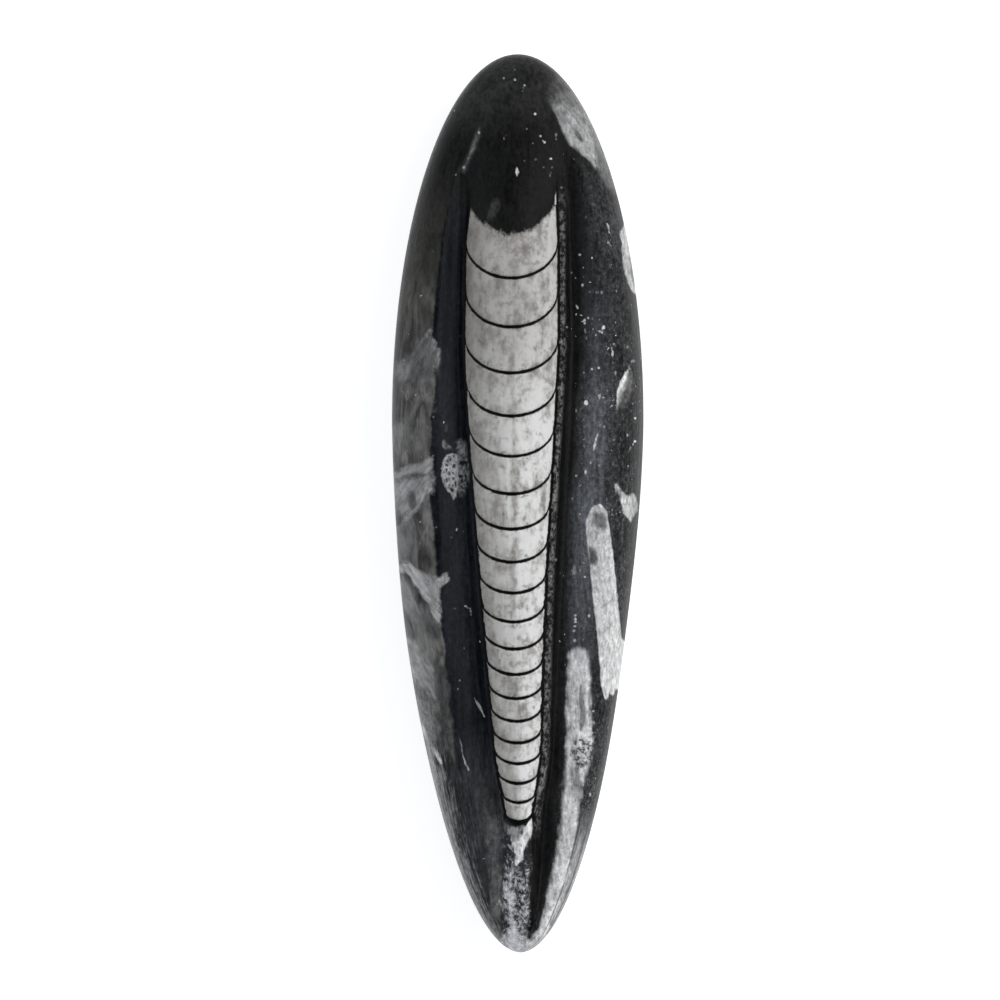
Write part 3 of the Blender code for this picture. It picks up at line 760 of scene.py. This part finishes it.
plan_x = unrolled()
unsteady = 1 - (1 - STEADY_WAVER) * smooth((y - STEADY_FROM) / STEADY_FADE)
by_band = smooth((plan_x - BAND_LEFT) / LEFT_FADE) * smooth((BAND_TOP - y) / TOP_FADE)
by_band = by_band * smooth((y - BAND_BOTTOM) / BOTTOM_FADE)
unsteady = unsteady * (1 - BAND_STEADINESS * by_band)
outline_x, outline_y = plan_x + waver(WAVERS_ACROSS), y + waver(WAVERS_ALONG)
deepest, paleness = np.full(x.shape, NOWHERE), np.zeros(x.shape)
grain_across, grain_along = plan_x.copy(), y.copy()
for softness, pale, *leaning, outline in SCRAPS:
    lean, towards, fall = (*leaning, 0, 0, 0)[:3]
    depth = depth_inside(outline_x, outline_y, outline) / softness
    nearest = depth > deepest
    corners = turned(*np.array(outline).T, towards)[0]
    share = np.clip((turned(plan_x, y, towards)[0] - corners.min()) / np.ptp(corners), 0, 1)
    covered = np.where(deepest < -1, 1, smooth(1 + depth))
    paleness += covered * (pale * (1 - fall * share) - paleness)
    deepest = np.maximum(deepest, depth)
    sideways_place, lengthwise_place = turned(plan_x, y, lean)
    grain_across = np.where(nearest, sideways_place, grain_across)
    grain_along = np.where(nearest, lengthwise_place, grain_along)
mark("scrap", deepest)
mark("paleness", paleness)
mark("grain_across", grain_across)
mark("grain_along", grain_along)

grain_place = pair(product("grain_across", 1.5), product("grain_along", 0.30))
grain = clouds(1, detail=7, roughness=0.62, distortion=0.5, where=grain_place)
marbling = clouds(230, detail=6, roughness=0.6, distortion=0.6)
speckle = clouds(1500, detail=4, roughness=0.7)
raggedness = sum_of(swing(grain, 1.8), swing(marbling, 1.4), swing(speckle, 1))
on_bands = product(between("flow", 4, 6), between("along", 1, -3))
steady = between("along", STEADY_FROM, STEADY_FROM + STEADY_FADE)
steadied = product(raggedness, between(more_of(calm, on_bands), 0, 1, 1, 0.55))
scrap_edge = sum_of("scrap", product(steadied, between(steady, 0, 1, 1, 0.5)))
scrap_share = between(scrap_edge, -0.75, 0.75)
scrap_tone = mixed((grain, 0.5), (marbling, 0.25), (speckle, 0.25))
scrap_tone = lay_value(scrap_tone, mixed((grain, 0.7), (marbling, 0.3)), calm)
on_first_band = product(on_bands, between("along", -33, -26))
mottle = lay_value(between(scrap_tone, 0.36, 0.62, 0.60, 1.22), 0.96, product(on_first_band, 0.45))
scrap_tone = product("paleness", mottle)
cracked = off(clouds(0.8, detail=5, roughness=0.6, distortion=1.4, where=grain_place), 0.5)
cracks = product(between(cracked, 0.014, 0.002), between(clouds(420, detail=3), 0.48, 0.62))
scrap_tone = product(scrap_tone, between(cracks, 0, 1, 1, 0.35))
colour = lay(colour, scaled(SCRAP_WHITE, scrap_tone), scrap_share)

# More painted shade along the left rim, over the scraps too, but not towards the point.
painted_left_rim_shade = product(between("along", -30, -14), between("flow", -8, -12))
colour = scaled(colour, lay_value(1, between("from_rim", 0, 1.4, 0.62, 1), painted_left_rim_shade))

RIM_LINES, RIM_LINE_GREY = (17, 19.7), (0.035, 0.035, 0.037)
wandering = swing(streaky(120, 60, detail=3), 1.6)
for line in RIM_LINES:
    rim_line = between(off(sum_of("flow", wandering), line), 0.55, 0.05)
    rim_line = product(rim_line, between("along", -44, -56), between(flowing, 0.30, 0.50))
    colour = lay(colour, RIM_LINE_GREY, product(rim_line, 0.75))

# ---------------------------------------------------------------------------------------------------------
# The grains. White calcite crumbs all through the limestone, most of them on the right flank and over the
# blunt end; a rough crust of them on the ledge, in a patch of net in the left trough, and down the ridge
# past the last wall, where the shell is only rubble.
CRUMB_WHITE = (0.72, 0.73, 0.75)
RUBBLE_GREY, RUBBLE_WHITE = (0.026, 0.026, 0.029), (0.60, 0.60, 0.63)
CRUST_DARK, CRUST_PALE = (0.012, 0.012, 0.012), (0.21, 0.208, 0.205)
NET_WHITE = (0.62, 0.63, 0.64)

# Outlines in the plan: the net and the dust beside it in the left trough, the rubble on the ridge and the
# brightest column of it, and a crumbled spot below the first long band.
PATCHES = {
    "net": (
        (-12.5, 7.2), (-11.9, 8.1), (-10.6, 8.4), (-10, 8), (-9.9, 5.6), (-9.9, 2.9), (-10.3, 1.2),
        (-10.8, 0.5), (-11.3, 1.6), (-12.1, 2.5), (-12.7, 4), (-12.8, 6),
    ),
    "dust": ((-10.2, 10.2), (-9.4, 10.6), (-8.6, 9.6), (-8.2, 7), (-8.4, 3.4), (-9.2, 1.4), (-10, 1.6)),
    "rubble": (
        (-2.6, -54.4), (2.4, -54.4), (2.2, -60), (2, -68.5), (1.5, -72), (1.2, -77), (-4.2, -77),
        (-2.6, -72), (-2.3, -69), (-2.6, -66), (-2.9, -60),
    ),
    "column": (
        (-1.7, -61.4), (-0.9, -61.6), (-0.6, -64), (-0.4, -67), (-0.6, -70.4), (0.4, -72.6), (1, -77),
        (-3.4, -77), (-1.6, -72.6), (-1.3, -69), (-1.8, -66), (-2, -63),
    ),
    "crumbled": ((9, -39.4), (12.6, -39), (13, -41.4), (12.3, -43.6), (10, -44.2), (9, -42)),
}

# Each speck's place, its radius, how many times taller than wide it is, and how pale.
SPECKS = (
    # on the blunt end
    (-2.35, 71, 0.12, 1.2, 0.35), (-0.5, 72.4, 0.16, 0.8, 0.12), (-0.45, 70.7, 0.2, 1, 0.4),
    (1.15, 69.8, 0.16, 1, 0.4), (0.8, 68.8, 0.14, 0.8, 0.1), (2.9, 65, 0.2, 1, 0.85),
    (3.8, 61.3, 0.18, 1, 0.45), (4.5, 60.3, 0.19, 1, 0.8), (5.5, 57.5, 0.2, 1, 0.7),
    (-2.25, 60.9, 0.16, 1, 0.25), (-2.1, 61.5, 0.12, 0.7, 0.15), (6.4, 61.6, 0.18, 1, 0.15),
    (6.4, 60.8, 0.12, 1.5, 0.12), (2.5, 60.1, 0.14, 0.8, 0.16), (1.5, 62.5, 0.18, 0.8, 0.14),
    (3, 57.4, 0.2, 1, 0.1), (5.7, 56.1, 0.14, 1.4, 0.18), (4.3, 56.1, 0.12, 1.2, 0.14),
    (5.4, 54.7, 0.12, 1.8, 0.16), (7.3, 52.7, 0.16, 1, 0.22), (1.1, 57.2, 0.12, 1, 0.1),
    # on the right, down to the widest place
    (11.4, 47.8, 0.16, 1.6, 0.14), (10.35, 41.5, 0.22, 0.9, 0.5), (9, 38.5, 0.15, 1, 0.18),
    (10.8, 36.4, 0.18, 1.4, 0.6), (12.05, 36.8, 0.18, 1, 0.9), (12.05, 35.3, 0.14, 1, 0.2),
    (13.15, 35.2, 0.15, 1.1, 0.24), (14, 35.2, 0.16, 1.6, 0.26), (16.45, 35.4, 0.12, 1.6, 0.34),
    (9.75, 33, 0.15, 1, 0.4), (10, 32.6, 0.17, 1, 0.5), (11.15, 30.55, 0.2, 0.9, 0.75),
    (14.35, 29.4, 0.24, 1.3, 0.95), (14.4, 28.4, 0.2, 1, 0.95), (13.65, 28.75, 0.18, 1.3, 0.6),
    (12.55, 29.1, 0.13, 1, 0.4), (8.2, 29.4, 0.18, 0.9, 0.25), (11.2, 29, 0.12, 1.6, 0.25),
    (11.5, 27.6, 0.13, 2, 0.2), (16.1, 26.6, 0.14, 1, 0.4), (15.5, 26.5, 0.12, 1.6, 0.2),
    (18.3, 26.1, 0.15, 1.3, 0.22), (15.8, 25.25, 0.17, 1.1, 0.75), (15.85, 24.2, 0.12, 1.1, 0.26),
    (15.9, 23.5, 0.13, 1.1, 0.22), (12.4, 22.4, 0.18, 1.1, 0.75), (13.5, 22.6, 0.2, 1.1, 0.75),
    (16.3, 21.8, 0.12, 2.6, 0.3), (11.4, 16.8, 0.34, 1.2, 0.95), (9.75, 15.4, 0.15, 1.3, 0.25),
    (15.95, 17.2, 0.16, 0.8, 0.4), (14.2, 14.6, 0.22, 0.7, 0.18), (14.45, 12.8, 0.16, 1.2, 0.4),
    (13.3, 11.4, 0.14, 1.6, 0.55), (13.05, 10.6, 0.15, 3, 0.75), (12.8, 9.6, 0.18, 2, 0.85),
    (12.65, 8.8, 0.12, 1.6, 0.3), (11.05, 9.6, 0.13, 1.2, 0.25), (12.15, 6.7, 0.13, 1.6, 0.45),
    (13.6, 6.3, 0.13, 1.3, 0.3), (11.35, 5.2, 0.2, 1.7, 0.6), (9.75, 4.6, 0.18, 1, 0.45),
    (19.6, 14.2, 0.16, 1, 0.8), (18.3, 11.4, 0.11, 1.6, 0.6), (19.55, 10.3, 0.19, 1.1, 0.8),
    (18.9, 9.4, 0.14, 1, 0.2), (18.5, 8.8, 0.12, 1.4, 0.18), (16, 10.6, 0.16, 0.7, 0.22),
    # between the two long bands and above them
    (10.4, -11.2, 0.12, 1.3, 0.18), (11.2, -12.3, 0.17, 1, 0.7), (9.6, -18.7, 0.18, 1, 0.6),
    (9.65, -19.8, 0.19, 0.9, 0.85), (9.4, -21.3, 0.22, 0.9, 0.5), (9.5, -22.9, 0.24, 0.9, 0.4),
    (11.9, -18.8, 0.2, 1.1, 0.6), (10.9, -22.8, 0.12, 1.2, 0.2), (5.6, -12.2, 0.15, 1.2, 0.28),
    (6.35, -9.4, 0.16, 1.3, 0.24), (12.6, -34.7, 0.18, 1, 0.45), (12.7, -36.6, 0.14, 2, 0.35),
    (12.5, -39.4, 0.14, 1.6, 0.3), (12.1, -48.6, 0.16, 1.6, 0.4),
    # a broken piece near the right rim
    (14.9, 46.75, 0.12, 1, 0.35), (15.15, 46.1, 0.13, 1.5, 0.6), (15.25, 45.3, 0.12, 1.5, 0.5),
    (14.65, 44.1, 0.12, 1, 0.2), (15.2, 43.5, 0.12, 1.2, 0.4), (15.65, 44.5, 0.1, 1, 0.2),
    (15.6, 43, 0.1, 1, 0.25), (13.4, 45.4, 0.16, 0.8, 0.1),
    # beside the ridge
    (-3.1, -66.3, 0.09, 2.6, 0.45), (-2.8, -67, 0.1, 2.2, 0.45), (-2.5, -67.8, 0.09, 2.4, 0.36),
    (-3.5, -66.9, 0.08, 2, 0.24),
    # among the rubble
    (-1.8, -61.85, 0.4, 0.4, 0.6), (1.6, -61.5, 0.4, 0.35, 0.55), (0.55, -61.9, 0.3, 0.35, 0.35),
    (-0.35, -63.2, 0.15, 5, 0.6), (-1.9, -63.3, 0.16, 1.6, 0.6), (1.55, -63.8, 0.14, 2.2, 0.55),
    (1, -64.4, 0.14, 2, 0.6), (1.6, -67.4, 0.16, 1.1, 0.65),
    # on the left
    (-6.5, 61.9, 0.2, 1.3, 0.34), (-9, 56.1, 0.2, 1.2, 0.34), (-8.3, 57.6, 0.12, 1.4, 0.2),
    (-14.1, 14.4, 0.15, 1.2, 0.16), (-16.3, -3.1, 0.17, 1.1, 0.28), (-13.6, -4, 0.15, 0.8, 0.13),
    (-10.2, -4.4, 0.14, 1.5, 0.45), (-9.1, -4.7, 0.1, 1, 0.16), (-11.05, -5.7, 0.13, 1, 0.1),
    (-8.75, -17.15, 0.15, 1, 0.4), (-8.3, -17.5, 0.1, 1, 0.22), (-7.95, -17.6, 0.13, 1, 0.28),
    (-7.8, -18.6, 0.12, 1.4, 0.24), (-8.9, -25, 0.14, 1.2, 0.3), (-8.95, -24.2, 0.1, 1.2, 0.16),
    (-9.7, -29.6, 0.13, 1.1, 0.22), (-10, -31, 0.11, 1.2, 0.2), (-10.5, -17.6, 0.1, 1, 0.16),
)

for name, outline in PATCHES.items():
    mark(name, depth_inside(plan_x, y, outline))
mark("ledge", ledge_length(y))


def crumbs_of(scale, chosen, smallest, largest, seed):
    """Calcite crumbs: a few cells of a random mesh hold a grain, of its own size and ragged in outline."""
    shift = moved(place, (seed, -seed, 0.5 * seed))
    bend = add("ShaderNodeTexNoise", {"Vector": shift, "Scale": 2.2 * scale, "Detail": 2}).outputs["Color"]
    cells = cells_of(moved(shift, scaled(bend, 1 / scale)), scale)
    draw = add("ShaderNodeSeparateColor", {0: cells["Color"]}).outputs
    held = between(sum_of(draw[0], product(chosen, -1)), 0.01, -0.01)
    size = sum_of(product(draw[1], draw[1], draw[1], largest - smallest), smallest)
    grains = between(sum_of(cells["Distance"], product(size, -1)), 0.05, -0.05)
    return product(held, grains, sum_of(product(draw[2], 0.75), 0.25))


# Each point of the skin keeps its offset from the nearest speck. None holds one beyond the reach, nor where
# two specks are about as near, so nothing shows there of the jump from one's offset to the other's.
SPECK_REACH, HALFWAY_BAND, SPECK_CORE = 0.9, 0.4, 0.35
to_speck, to_second = np.full(x.shape, FAR), np.full(x.shape, FAR)
speck_marks = np.zeros((4, *x.shape))
for speck_x, speck_y, radius, tall, pale in SPECKS:
    offset = np.stack((x - speck_x, (y - speck_y) / tall))
    away = np.hypot(*offset) - radius
    same = (np.where(away < SPECK_REACH, radius, NOWHERE), np.full(x.shape, pale))
    speck_marks = np.where((away < to_speck) & ~below, np.concatenate((offset, same)), speck_marks)
    to_second = np.minimum(to_second, np.maximum(away, to_speck))
    to_speck = np.minimum(away, to_speck)
halfway = (to_second - to_speck < HALFWAY_BAND) & (to_speck > SPECK_CORE)
speck_marks[2] = np.where(halfway, NOWHERE, speck_marks[2])
for name, values in zip(("speck_right", "speck_up", "speck_radius", "speck_pale"), speck_marks):
    mark(name, values)
speck_offset = {0: pair("speck_right", "speck_up")}
from_speck = add("ShaderNodeVectorMath", speck_offset, operation="LENGTH").outputs["Value"]
from_speck = sum_of(from_speck, product("speck_radius", -1), swing(speckle, 0.30))
speck = product(between(from_speck, 0.10, -0.10), "speck_pale")

# The crumbs scattered through the limestone.
crowd = between(clouds(150, detail=3, roughness=0.6), 0.40, 0.66)
on_right = product(between("past_right", 1.5, 4.5), between("along", -62, -20), between("along", 50, 36))
on_blunt = product(between("along", 50, 58), between("flow", -5, 1), between("flow", 9, 6))
off_shell = between("pale_edge", 0.2, 0.6)
many = sum_of(product(on_right, 0.16), product(on_blunt, 0.16), 0.012)
many = sum_of(product(many, sum_of(crowd, 0.12)), 0.002)
small_crumbs = crumbs_of(1500, many, 0.12, 0.28, 0.3)
middle_crumbs = crumbs_of(700, product(many, 0.6), 0.10, 0.30, 0.7)
colour = lay(colour, CRUMB_WHITE, product(more_of(small_crumbs, middle_crumbs), off_shell))

# The crust on the ledge, and the net and the dust in the left trough.
crust = mixed((clouds(1250, detail=4, roughness=0.7), 0.7), (clouds(420, detail=3), 0.3))
ledge_place = sum_of("past_right", swing(crust, 1.6), between("along", 20, 36, 0, 0.2))
in_ledge = product("ledge", between(ledge_place, 0.10, 0.40), between(ledge_place, 1.75, 1.15))
colour = lay(colour, lay(CRUST_DARK, CRUST_PALE, between(crust, 0.44, 0.64)), in_ledge)
net_cells = cells_of(stretched(1750, 1050, 0.15), 1, feature="DISTANCE_TO_EDGE")
net_holes = product(between(net_cells[0], 0.10, 0.28), between(speckle, 0.36, 0.50))
in_net = between(sum_of("net", swing(speckle, 0.8)), -0.15, 0.20)
net_holes = product(net_holes, between("net", 0.15, 0.5))
net_tone = product(between(crust, 0.36, 0.64, 0.45, 1), between(net_holes, 0, 1, 1, 0.10))
in_dust = product(between("dust", -0.7, 0.5), between(crust, 0.40, 0.60))
colour = lay(colour, NET_WHITE, more_of(product(in_net, net_tone, 0.62), product(in_dust, 0.27)))

# The rubble past the last wall, the crumbled spot and the specks; then fine grit over everything so far.
rubble = streaky(1500, 1000, 0.2, detail=5, roughness=0.8, distortion=0.6)
in_column = between(sum_of("column", swing(marbling, 2.5), swing(speckle, 1.5)), -0.6, 0.6)
rubble = mixed((rubble, 0.7), (marbling, 0.3), (in_column, 0.10))
rubble = sum_of(rubble, between("along", -57, -63, -0.115, 0), between("along", -70.5, -74, 0, 0.06))
rubble_edge = sum_of("rubble", swing(speckle, 1.2), swing(marbling, 1.6))
beside_scrap = between(product(scrap_share, between("along", -61.5, -60)), 1, 0.2)
in_rubble = product(between(rubble_edge, -0.4, 0.5), beside_scrap)
colour = lay(colour, lay(RUBBLE_GREY, RUBBLE_WHITE, between(rubble, 0.42, 0.63)), product(in_rubble, 0.95))
crumbled_edge = sum_of("crumbled", swing(speckle, 3))
in_crumbled = product(between(crumbled_edge, -0.3, 0.5), between(crust, 0.56, 0.48))
colour = lay(colour, CRUST_DARK, product(in_crumbled, 0.85))
colour = lay(colour, CRUMB_WHITE, speck)
micro = swing(streaky(1500, 900, detail=4, roughness=0.72), between(calm, 0, 1, 2.4, 0.9))
colour = scaled(colour, sum_of(micro, 1))

# ---------------------------------------------------------------------------------------------------------
# The chambers. Calcite, off-white and slightly warm, with clouds of grey, fine scratches along the shell
# and small dark pits. Mud filled the last chamber before it hardened, so it is black up to the mouth.
CALCITE, CALCITE_SHADE = (0.50, 0.490, 0.475), (0.245, 0.234, 0.220)
CALCITE_STAIN, CALCITE_BRIGHT = (0.12, 0.108, 0.096), (0.74, 0.74, 0.745)
PALE_INSET_FROM, PALE_INSET_TO, PALE_INSET = 38, 49, (0.75, 0.25)
WALL_LINE, WALL_LINE_THINNING, LAST_WALL_LINE = 0.29, 0.10, 0.75
LAST_WALL_CURL, LAST_WALL_LEAN = 0.6, 0.2
CORNER, CORNER_REACH = 0.20, 0.8
LEFT_SWELL, RIGHT_SWELL = (0.34, 12, 15), (0.20, 3, 20)
MOUTH_CURL = 2


def swell(height, middle, length):
    """By how much the chambers reach over their foot: a bell about a place along the shell."""
    return height * bell(y_middle, middle, length)


# What the finish reads: the distances to a wall's line, past the last wall and behind the mouth, and how far
# inside or outside the chambers' edge a point lies.
slope = np.gradient(y, axis=1) / np.where(on_shell, np.gradient(x, axis=1), 1)
mark("to_line", to_wall / np.hypot(1, np.where(on_shell, slope, 0)) + WALL_LINE_THINNING * shell_sideways**2)
past_last_wall = WALLS[-1] - y_middle + LAST_WALL_CURL * shell_sideways**2 + LAST_WALL_LEAN * shell_sideways
mark("past_last_wall", np.where(on_shell, past_last_wall, NOWHERE))
mark("behind_mouth", MOUTH_EDGE + MOUTH_CURL * shell_sideways**2 - y_middle)
inset = smooth((y_middle - PALE_INSET_FROM) / (PALE_INSET_TO - PALE_INSET_FROM))
above_wall = (y_middle[:, :, None] - WALLS).clip(0)
above_wall = np.where(above_wall > 0, above_wall, FAR).min(axis=2)
pale_left = past_left + PALE_INSET[0] * inset - swell(*LEFT_SWELL)
pale_right = past_right + PALE_INSET[1] * inset - swell(*RIGHT_SWELL)
mark("pale_edge", np.maximum(pale_left, pale_right) + CORNER * bell(above_wall, 0, CORNER_REACH))

# Where they are: inside the shell's foot, chipped along its edge, from the last wall up to the mud.
ragged = sum_of(clouds(900, detail=4), -0.5)
chipped = product(ragged, between("along", 8, -20, 0.25, 0.8))
in_shell = between(sum_of("pale_edge", chipped), -0.08, -0.26)
scratched_mud = streaky(900, 260, detail=3, roughness=0.6)
mouth_ragged = sum_of("behind_mouth", swing(clouds(420, detail=6, roughness=0.7), 1.5))
mouth_ragged = sum_of(mouth_ragged, swing(speckle, 2), swing(scratched_mud, 2.4))
behind_mouth = between(mouth_ragged, -0.55, 0.75)
before_last_wall = between("ring", WALLS[-1] - 0.1, WALLS[-1] + 0.1)
is_chamber = product(in_shell, behind_mouth, before_last_wall)

# Their calcite: clouded and scratched, with a painted sheen on its right side, pitted, and stained by mud
# along the walls.
clouded = streaky(430, 260, detail=5, roughness=0.60, distortion=0.25)
scratched = streaky(1000, 240, -0.06, detail=3, roughness=0.6)
rubbed = streaky(420, 9, detail=3, roughness=0.6)
grit = clouds(1250, detail=2, roughness=0.5)
calcite_tone = mixed((clouded, 0.55), (scratched, 0.20), (rubbed, 0.10), (grit, 0.15))
calcite = lay(CALCITE_SHADE, CALCITE, between(calcite_tone, 0.37, 0.60))
# Painted sheen, as from the right lamp: the right of the shell is brighter, the more so towards the point.
painted_sheen_side = between(sum_of("sideways", swing(rubbed, 1.6)), -0.45, 0.45)
painted_sheen_reach = sum_of(between("along", 34, 8, 0.25, 0.72), between("along", -36, -52, 0, 0.25))
calcite = lay(calcite, CALCITE_BRIGHT, product(painted_sheen_side, painted_sheen_reach, between(calcite_tone, 0.36, 0.54)))
pit_cells = cells_of(stretched(1100, 620), 1)
pit_seen = between(clouds(330, detail=4, roughness=0.65), 0.54, 0.66)
pits = product(between(pit_cells["Distance"], 0.36, 0.10), pit_seen)
calcite = lay(calcite, CALCITE_STAIN, product(pits, 0.65))
spots = between(mixed((clouds(760, detail=2, roughness=0.5), 0.65), (blotches, 0.35)), 0.54, 0.66)
calcite = lay(calcite, CALCITE_STAIN, product(spots, 0.45))
glints = between(mixed((clouds(1000, detail=2), 0.7), (blotches, -0.3)), 0.33, 0.42)
calcite = lay(calcite, CALCITE_BRIGHT, product(glints, 0.5))
mud = product(between("to_line", 1.5, 0.3), between(mixed((ragged, 1), (grit, 1)), 0.56, 0.80))
calcite = lay(calcite, CALCITE_STAIN, product(mud, 0.75))
# Darker towards the left foot: partly stain and partly painted shade on the side turned from the lamp.
calcite = lay(calcite, CALCITE_STAIN, between("sideways", -0.30, -1, 0, 0.38))
towards_mouth = product(between("along", 8, 34, 0, 0.32), between("sideways", 0.8, 0, 0.3, 1))
calcite = lay(calcite, CALCITE_STAIN, towards_mouth)
colour = lay(colour, calcite, is_chamber)

# The dark lines: along each wall, down the shell's foot and past the last wall. Down the foot the black is
# partly the scribed line and partly painted shade in the crease.
line_wobble = swing(clouds(800, detail=4, roughness=0.7), 0.34)
wall_line = between(sum_of("to_line", line_wobble), WALL_LINE + 0.11, WALL_LINE - 0.11)
wall_line = product(wall_line, between("ring", WALLS[0] + 1, WALLS[0] + 0.9), between("pale_edge", 0.6, 0.2))
# Painted shade in the crease at the shell's foot, over the scribed line's own dark.
foot_line_and_shade = between(sum_of("pale_edge", product(ragged, 0.25)), -0.16, 0)
foot_line_and_shade = product(foot_line_and_shade, between("pale_edge", 0.50, 0.22), between("ring", 52, 49))
foot_line_and_shade = product(foot_line_and_shade, between("ring", WALLS[-1] - 1.6, WALLS[-1] - 0.4))
last_wall = sum_of("past_last_wall", line_wobble)
past_line = between(last_wall, LAST_WALL_LINE + 0.2, LAST_WALL_LINE - 0.2)
last_wall = product(between(last_wall, 0, 0.1), past_line)
colour = lay(colour, DEEP_BLACK, more_of(wall_line, foot_line_and_shade, last_wall))

# ---------------------------------------------------------------------------------------------------------
# The back. Sawn off the block in one flat cut and left unpolished: a dull grey, with faint arcs from the saw
# across it. The sides under the rim are rubbed down, but they stay as dull.
BACK_GREY = (0.052, 0.051, 0.050)
SAWN_UP_TO, UNDER_FADE = 0.5, 4
mark("under", np.where(below, smooth((RIM_HEIGHT - z) / UNDER_FADE), 0))
mark("flat", np.where(below, smooth((SAWN_UP_TO - z) / SAWN_UP_TO), 0))
saw = {"Vector": place, "Scale": 140, "Distortion": 2, "Detail": 3}
arcs = add("ShaderNodeTexWave", saw, bands_direction="Y").outputs["Fac"]
arcs = lay_value(blotches, arcs, "flat")
sawn = mixed((arcs, 0.35), (fine, 0.4), (blotches, 0.25))
colour = lay(colour, scaled(BACK_GREY, between(sawn, 0.2, 0.8, 0.6, 1.3)), product("under", 0.8))

# ---------------------------------------------------------------------------------------------------------
# The polish. Glossy, a little duller in worn streaks and blotches, and rough on the crust, the rubble, the
# net and the back and sides under the rim.
# The fine relief is the same streaks and grains that colour it.
ROUGHNESS_POLISHED, ROUGHNESS_WORN, ROUGHNESS_CRUST = 0.24, 0.42, 0.75
SHINE, RELIEF_STRENGTH, RELIEF_HEIGHT = 0.04, 0.25, 0.0004
rough_places = more_of(in_ledge, in_rubble, in_net, "under")
roughness = between(worn, 0.35, 0.65, ROUGHNESS_POLISHED, ROUGHNESS_WORN)
roughness = more_of(roughness, product(rough_places, ROUGHNESS_CRUST))
relief = sum_of(product(fine, 0.5), product(streaks, 0.5), product(rough_places, crust, 2))
bumped = {"Height": relief, "Strength": RELIEF_STRENGTH, "Distance": RELIEF_HEIGHT}
feed(shader.inputs["Base Color"], colour)
feed(shader.inputs["Roughness"], roughness)
feed(shader.inputs["Specular IOR Level"], SHINE)
feed(shader.inputs["Normal"], add("ShaderNodeBump", bumped).outputs[0])

# ---------------------------------------------------------------------------------------------------------
# The table and the light. White paper under the stone, a large soft lamp to its right, a weaker and
# bluer one to its left, and nothing bright straight above, where the polish would mirror it.
FLOOR_SIDE, FLOOR_SINK = 6, 0.00005
FLOOR_WHITE, FLOOR_GLOW = 0.80, 0.66
PAPER_LOOK = {
    "Base Color": (FLOOR_WHITE, FLOOR_WHITE, FLOOR_WHITE, 1),
    "Roughness": 0.9,
    "Specular IOR Level": 0.1,
    "Emission Color": (1, 1, 1, 1),
    "Emission Strength": FLOOR_GLOW,
}
LAMP_DISTANCE, LAMP_SIDE = 0.9, 0.8
ROOM_GREY, ROOM_GLOW = (0.94, 0.97, 1, 1), 0.28


def paper(side, height):
    """A flat square, centred under the stone."""
    half = side / 2
    corners = [(-half, -half, height), (half, -half, height), (half, half, height), (-half, half, height)]
    sheet = bpy.data.meshes.new("paper_floor")
    sheet.from_pydata(corners, [], [(0, 1, 2, 3)])
    return bpy.data.objects.new("paper_floor", sheet)


floor = paper(FLOOR_SIDE, -FLOOR_SINK)
bpy.context.scene.collection.objects.link(floor)
white = bpy.data.materials.new("white_paper")
white.use_nodes = True
for name, value in PAPER_LOOK.items():
    white.node_tree.nodes["Principled BSDF"].inputs[name].default_value = value
floor.data.materials.append(white)


def softbox(name, azimuth, elevation, power, tint):
    """A square lamp that faces the stone, from a compass turn off +X and a height angle, in degrees."""
    lamp = bpy.data.lights.new(name, "AREA")
    lamp.shape, lamp.size, lamp.energy, lamp.color = "SQUARE", LAMP_SIDE, power, tint
    holder = bpy.data.objects.new(name, lamp)
    turn, lift = math.radians(azimuth), math.radians(elevation)
    holder.location = (
        LAMP_DISTANCE * math.cos(turn) * math.cos(lift),
        LAMP_DISTANCE * math.sin(turn) * math.cos(lift),
        LAMP_DISTANCE * math.sin(lift),
    )
    holder.rotation_euler = (math.pi / 2 - lift, 0, turn + math.pi / 2)
    bpy.context.scene.collection.objects.link(holder)


softbox("right_softbox", azimuth=15, elevation=44, power=7.2, tint=(1, 0.995, 0.985))
softbox("left_softbox", azimuth=170, elevation=38, power=3.4, tint=(0.92, 0.96, 1))

world = bpy.data.worlds.new("grey_room")
world.use_nodes = True
background = world.node_tree.nodes["Background"].inputs
background["Color"].default_value, background["Strength"].default_value = ROOM_GREY, ROOM_GLOW
bpy.context.scene.world = world
bpy.context.scene.view_settings.view_transform = "Standard"

# The camera looks straight down, square to the stone, from a little left of its middle.
CAMERA_PLACE, VIEW_SIDE, CAMERA_REACH = (-2.97, 0.55, 500), 166.95, 10
camera = bpy.data.cameras.new("overhead_camera")
camera.type = "ORTHO"
camera.ortho_scale = VIEW_SIDE * MM
camera.clip_end = CAMERA_REACH
overhead = bpy.data.objects.new("overhead_camera", camera)
overhead.location = [value * MM for value in CAMERA_PLACE]
bpy.context.scene.collection.objects.link(overhead)
bpy.context.scene.camera = overhead
